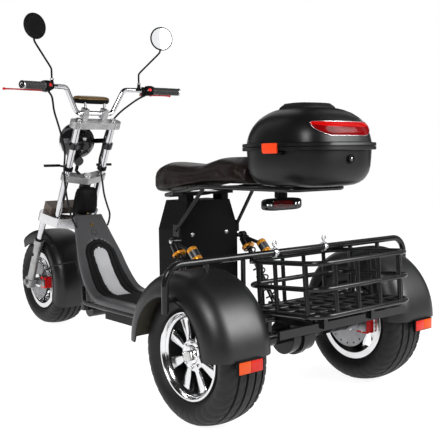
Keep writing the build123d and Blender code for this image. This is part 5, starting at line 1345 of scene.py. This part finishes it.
def make_shocks():
    place = frame_at(SHOCK_TOP, SHOCK_FOOT - SHOCK_TOP, (0, 1, 0))
    low, high = 63, (SHOCK_FOOT - SHOCK_TOP).length - 29
    steps = 200
    coil = []
    for i in range(steps + 1):
        share = i / steps
        angle = tau * COIL_TURNS * share
        settle = between([(0, 0), (0.06, 0.01), (0.94, 0.99), (1, 1)], share)
        coil.append((20.8 * cos(angle), 20.8 * sin(angle), low + (high - low) * settle))
    spring = moved(rod(coil, 3.1, 10), place)
    piece("coil_springs", two_sided([spring]), [black_paint], "chassis", ["shock_springs"],
          sharp=60)
    collar = turned([(9.2, 50.4), (24, 50.4), (26, 52), (26, 54), (24.6, 55), (26, 56), (26, 58.2),
                     (24.6, 59.7), (9.2, 59.7)], 48)
    can_place = frame_at((335, 169, 506), (-48, 0, -50), (0, 1, 0))
    reach = Vector((48, 0, 50)).length
    rims = [(0.01, 0), (13, 0), (16, 1.5), (17, 4), (19, 6), (19, 15), (18, 16), (18, 18), (19, 19)]
    rims += [(radius, reach - back) for radius, back in ((19, 22), (18, 21), (18, 18), (19, 17), (19, 6),
                                                         (17.5, 3), (17, 1), (14, 0), (0.01, 0))]
    tank = turned(rims, 48, tints=[1] * 3 + [0] * 5 + [1] + [0] * 6 + [1] * 3)
    fill = can(4, reach - 1, reach + 2, 0.6, 20, 1)
    shapes = [moved(collar, place), moved(tank, can_place), moved(fill, can_place)]
    piece("gold_reservoirs", two_sided(shapes), [gold, steel], "chassis", ["shock_reservoirs"],
          sharp=40)


def make_chassis_bolts():
    bolts = []
    for s in (1, -1):
        for radius, (x, y, z) in ((9, SHOCK_TOP), (8, SHOCK_FOOT)):
            bolts.append(placed(hexagon(radius, 10, 17), (x, s * y, z), (0, s, 0)))
        bolts.append(placed(can(5.6, 0, 5, 1.2, 24), (435, s * 84, 541), (-1, 0, 0)))
        bolts.append(placed(can(8, 0, 1.6, 0.5, 24), (436, s * 84, 541), (-1, 0, 0)))
    piece("chassis_bolts", bolts, [zinc], "chassis", bevel=0.6)


def caliper(x, y):
    """Two halves of a caliper behind the axle at x, astride the disc at y."""
    z = WHEEL_RADIUS
    shapes = []
    for s in (1, -1):
        shapes.append(block((x - 106, x - 58), sorted((y + s * 4.6, y + s * 18)), (z - 27, z + 27)))
        shapes.append(block((x - 106, x - 95), sorted((y, y + s * 5)), (z - 24, z + 24)))
        for dz in (-16, 16):
            shapes.append(placed(can(6.2, 16, 20.5, 1, 20, 1), (x - 84, y, z + dz), (0, s, 0)))
        shapes.append(placed(can(10, 17, 19.6, 1, 28), (x - 74, y, z), (0, s, 0)))
    return shapes


def make_calipers():
    looks = [red_paint, zinc, steel]
    plate = block((-104, -30), (269, 276.2), (205, 241), 2)
    ring = turned([(26.3, 0), (35, 0), (35, 7), (26.3, 7)], 40, 2)
    shapes = caliper(0, 294) + [plate, placed(ring, (0, 269, WHEEL_RADIUS), (0, 1, 0)),
                                placed(can(13, 0, 5, 1.5, 28, 2), (-58, 269, WHEEL_RADIUS), (0, -1, 0))]
    piece("rear_calipers", two_sided(shapes), looks, "chassis", ["calipers_rear"], bevel=1.8)
    plate = block((WHEELBASE - 104, WHEELBASE - 16), (103.6, 109.6), (207, 239), 2)
    piece("front_caliper", caliper(WHEELBASE, 86) + [plate], looks, "steering",
          ["caliper_front"], bevel=1.8)


TAIL_LAMP_Z = 668


def tail_body(stations, power, steps, tint=0):
    """A body over upright rounded squares; stations are (x, half width, half height)."""
    return lofted([[(x, y, TAIL_LAMP_Z + z) for y, z in squircle(half, tall, power, steps)]
                   for x, half, tall in stations], tint)


def make_lights():
    back = tail_body([(40, 82, 18), (54, 82, 18)], 5, 48, 1)
    glow = tail_body([(34, 44, 10), (39.5, 48, 12)], 4, 32, 2)
    studs = [placed(can(5.5, 0, 4, 1, 16, 3), (36, y, TAIL_LAMP_Z), (-1, 0, 0)) for y in (-72, -58, 58, 72)]
    shell = tail_body([(25, 78, 16), (26, 82.5, 18.6), (29, 85.4, 20.6), (50, 86, 21), (54, 84, 20),
                       (55, 80, 18)], 5, 48)
    piece("tail_lamp_lens", [shell], [lens_clear], "chassis", ["tail_lamp"], sharp=50)
    piece("tail_lamp_core", [back, glow] + studs, [dark_plastic, dark_plastic, lens_red, polished],
          "chassis", sharp=50)
    shapes = [block((-250, -238.4), (362, 457), (213.6, 253.4), 2),
              block((-252, -240), (364.5, 409), (216, 251)), block((-252, -240), (410, 454.5), (216, 251), 1)]
    piece("rear_reflectors", two_sided(shapes), [tile_red, lens_orange, dark_plastic], "chassis",
          ["reflectors"], bevel=1.5)


make_shocks()
make_chassis_bolts()
make_calipers()
make_lights()


# ---- small hardware
def make_hardware():
    ring = turned([(11.3, -9), (15, -9), (16, -7.5), (16, 7.5), (15, 9), (11.3, 9)], 36)
    eye = turned([(4 + 3 * cos(tau * i / 12) + 3.6, 3 * sin(tau * i / 12)) for i in range(12)], 28)
    clamps = []
    for y in (118, -118):
        clamps.append(placed(ring, (-45, y, 518), (0, 1, 0)))
        clamps.append(placed(can(4, 14, 24, 1, 20), (-45, y, 518), (0, 0, 1)))
        clamps.append(placed(eye, (-45, y, 548), (1, 0, 0)))
    piece("hoop_clamps", clamps, [polished], "chassis", sharp=45)


make_hardware()
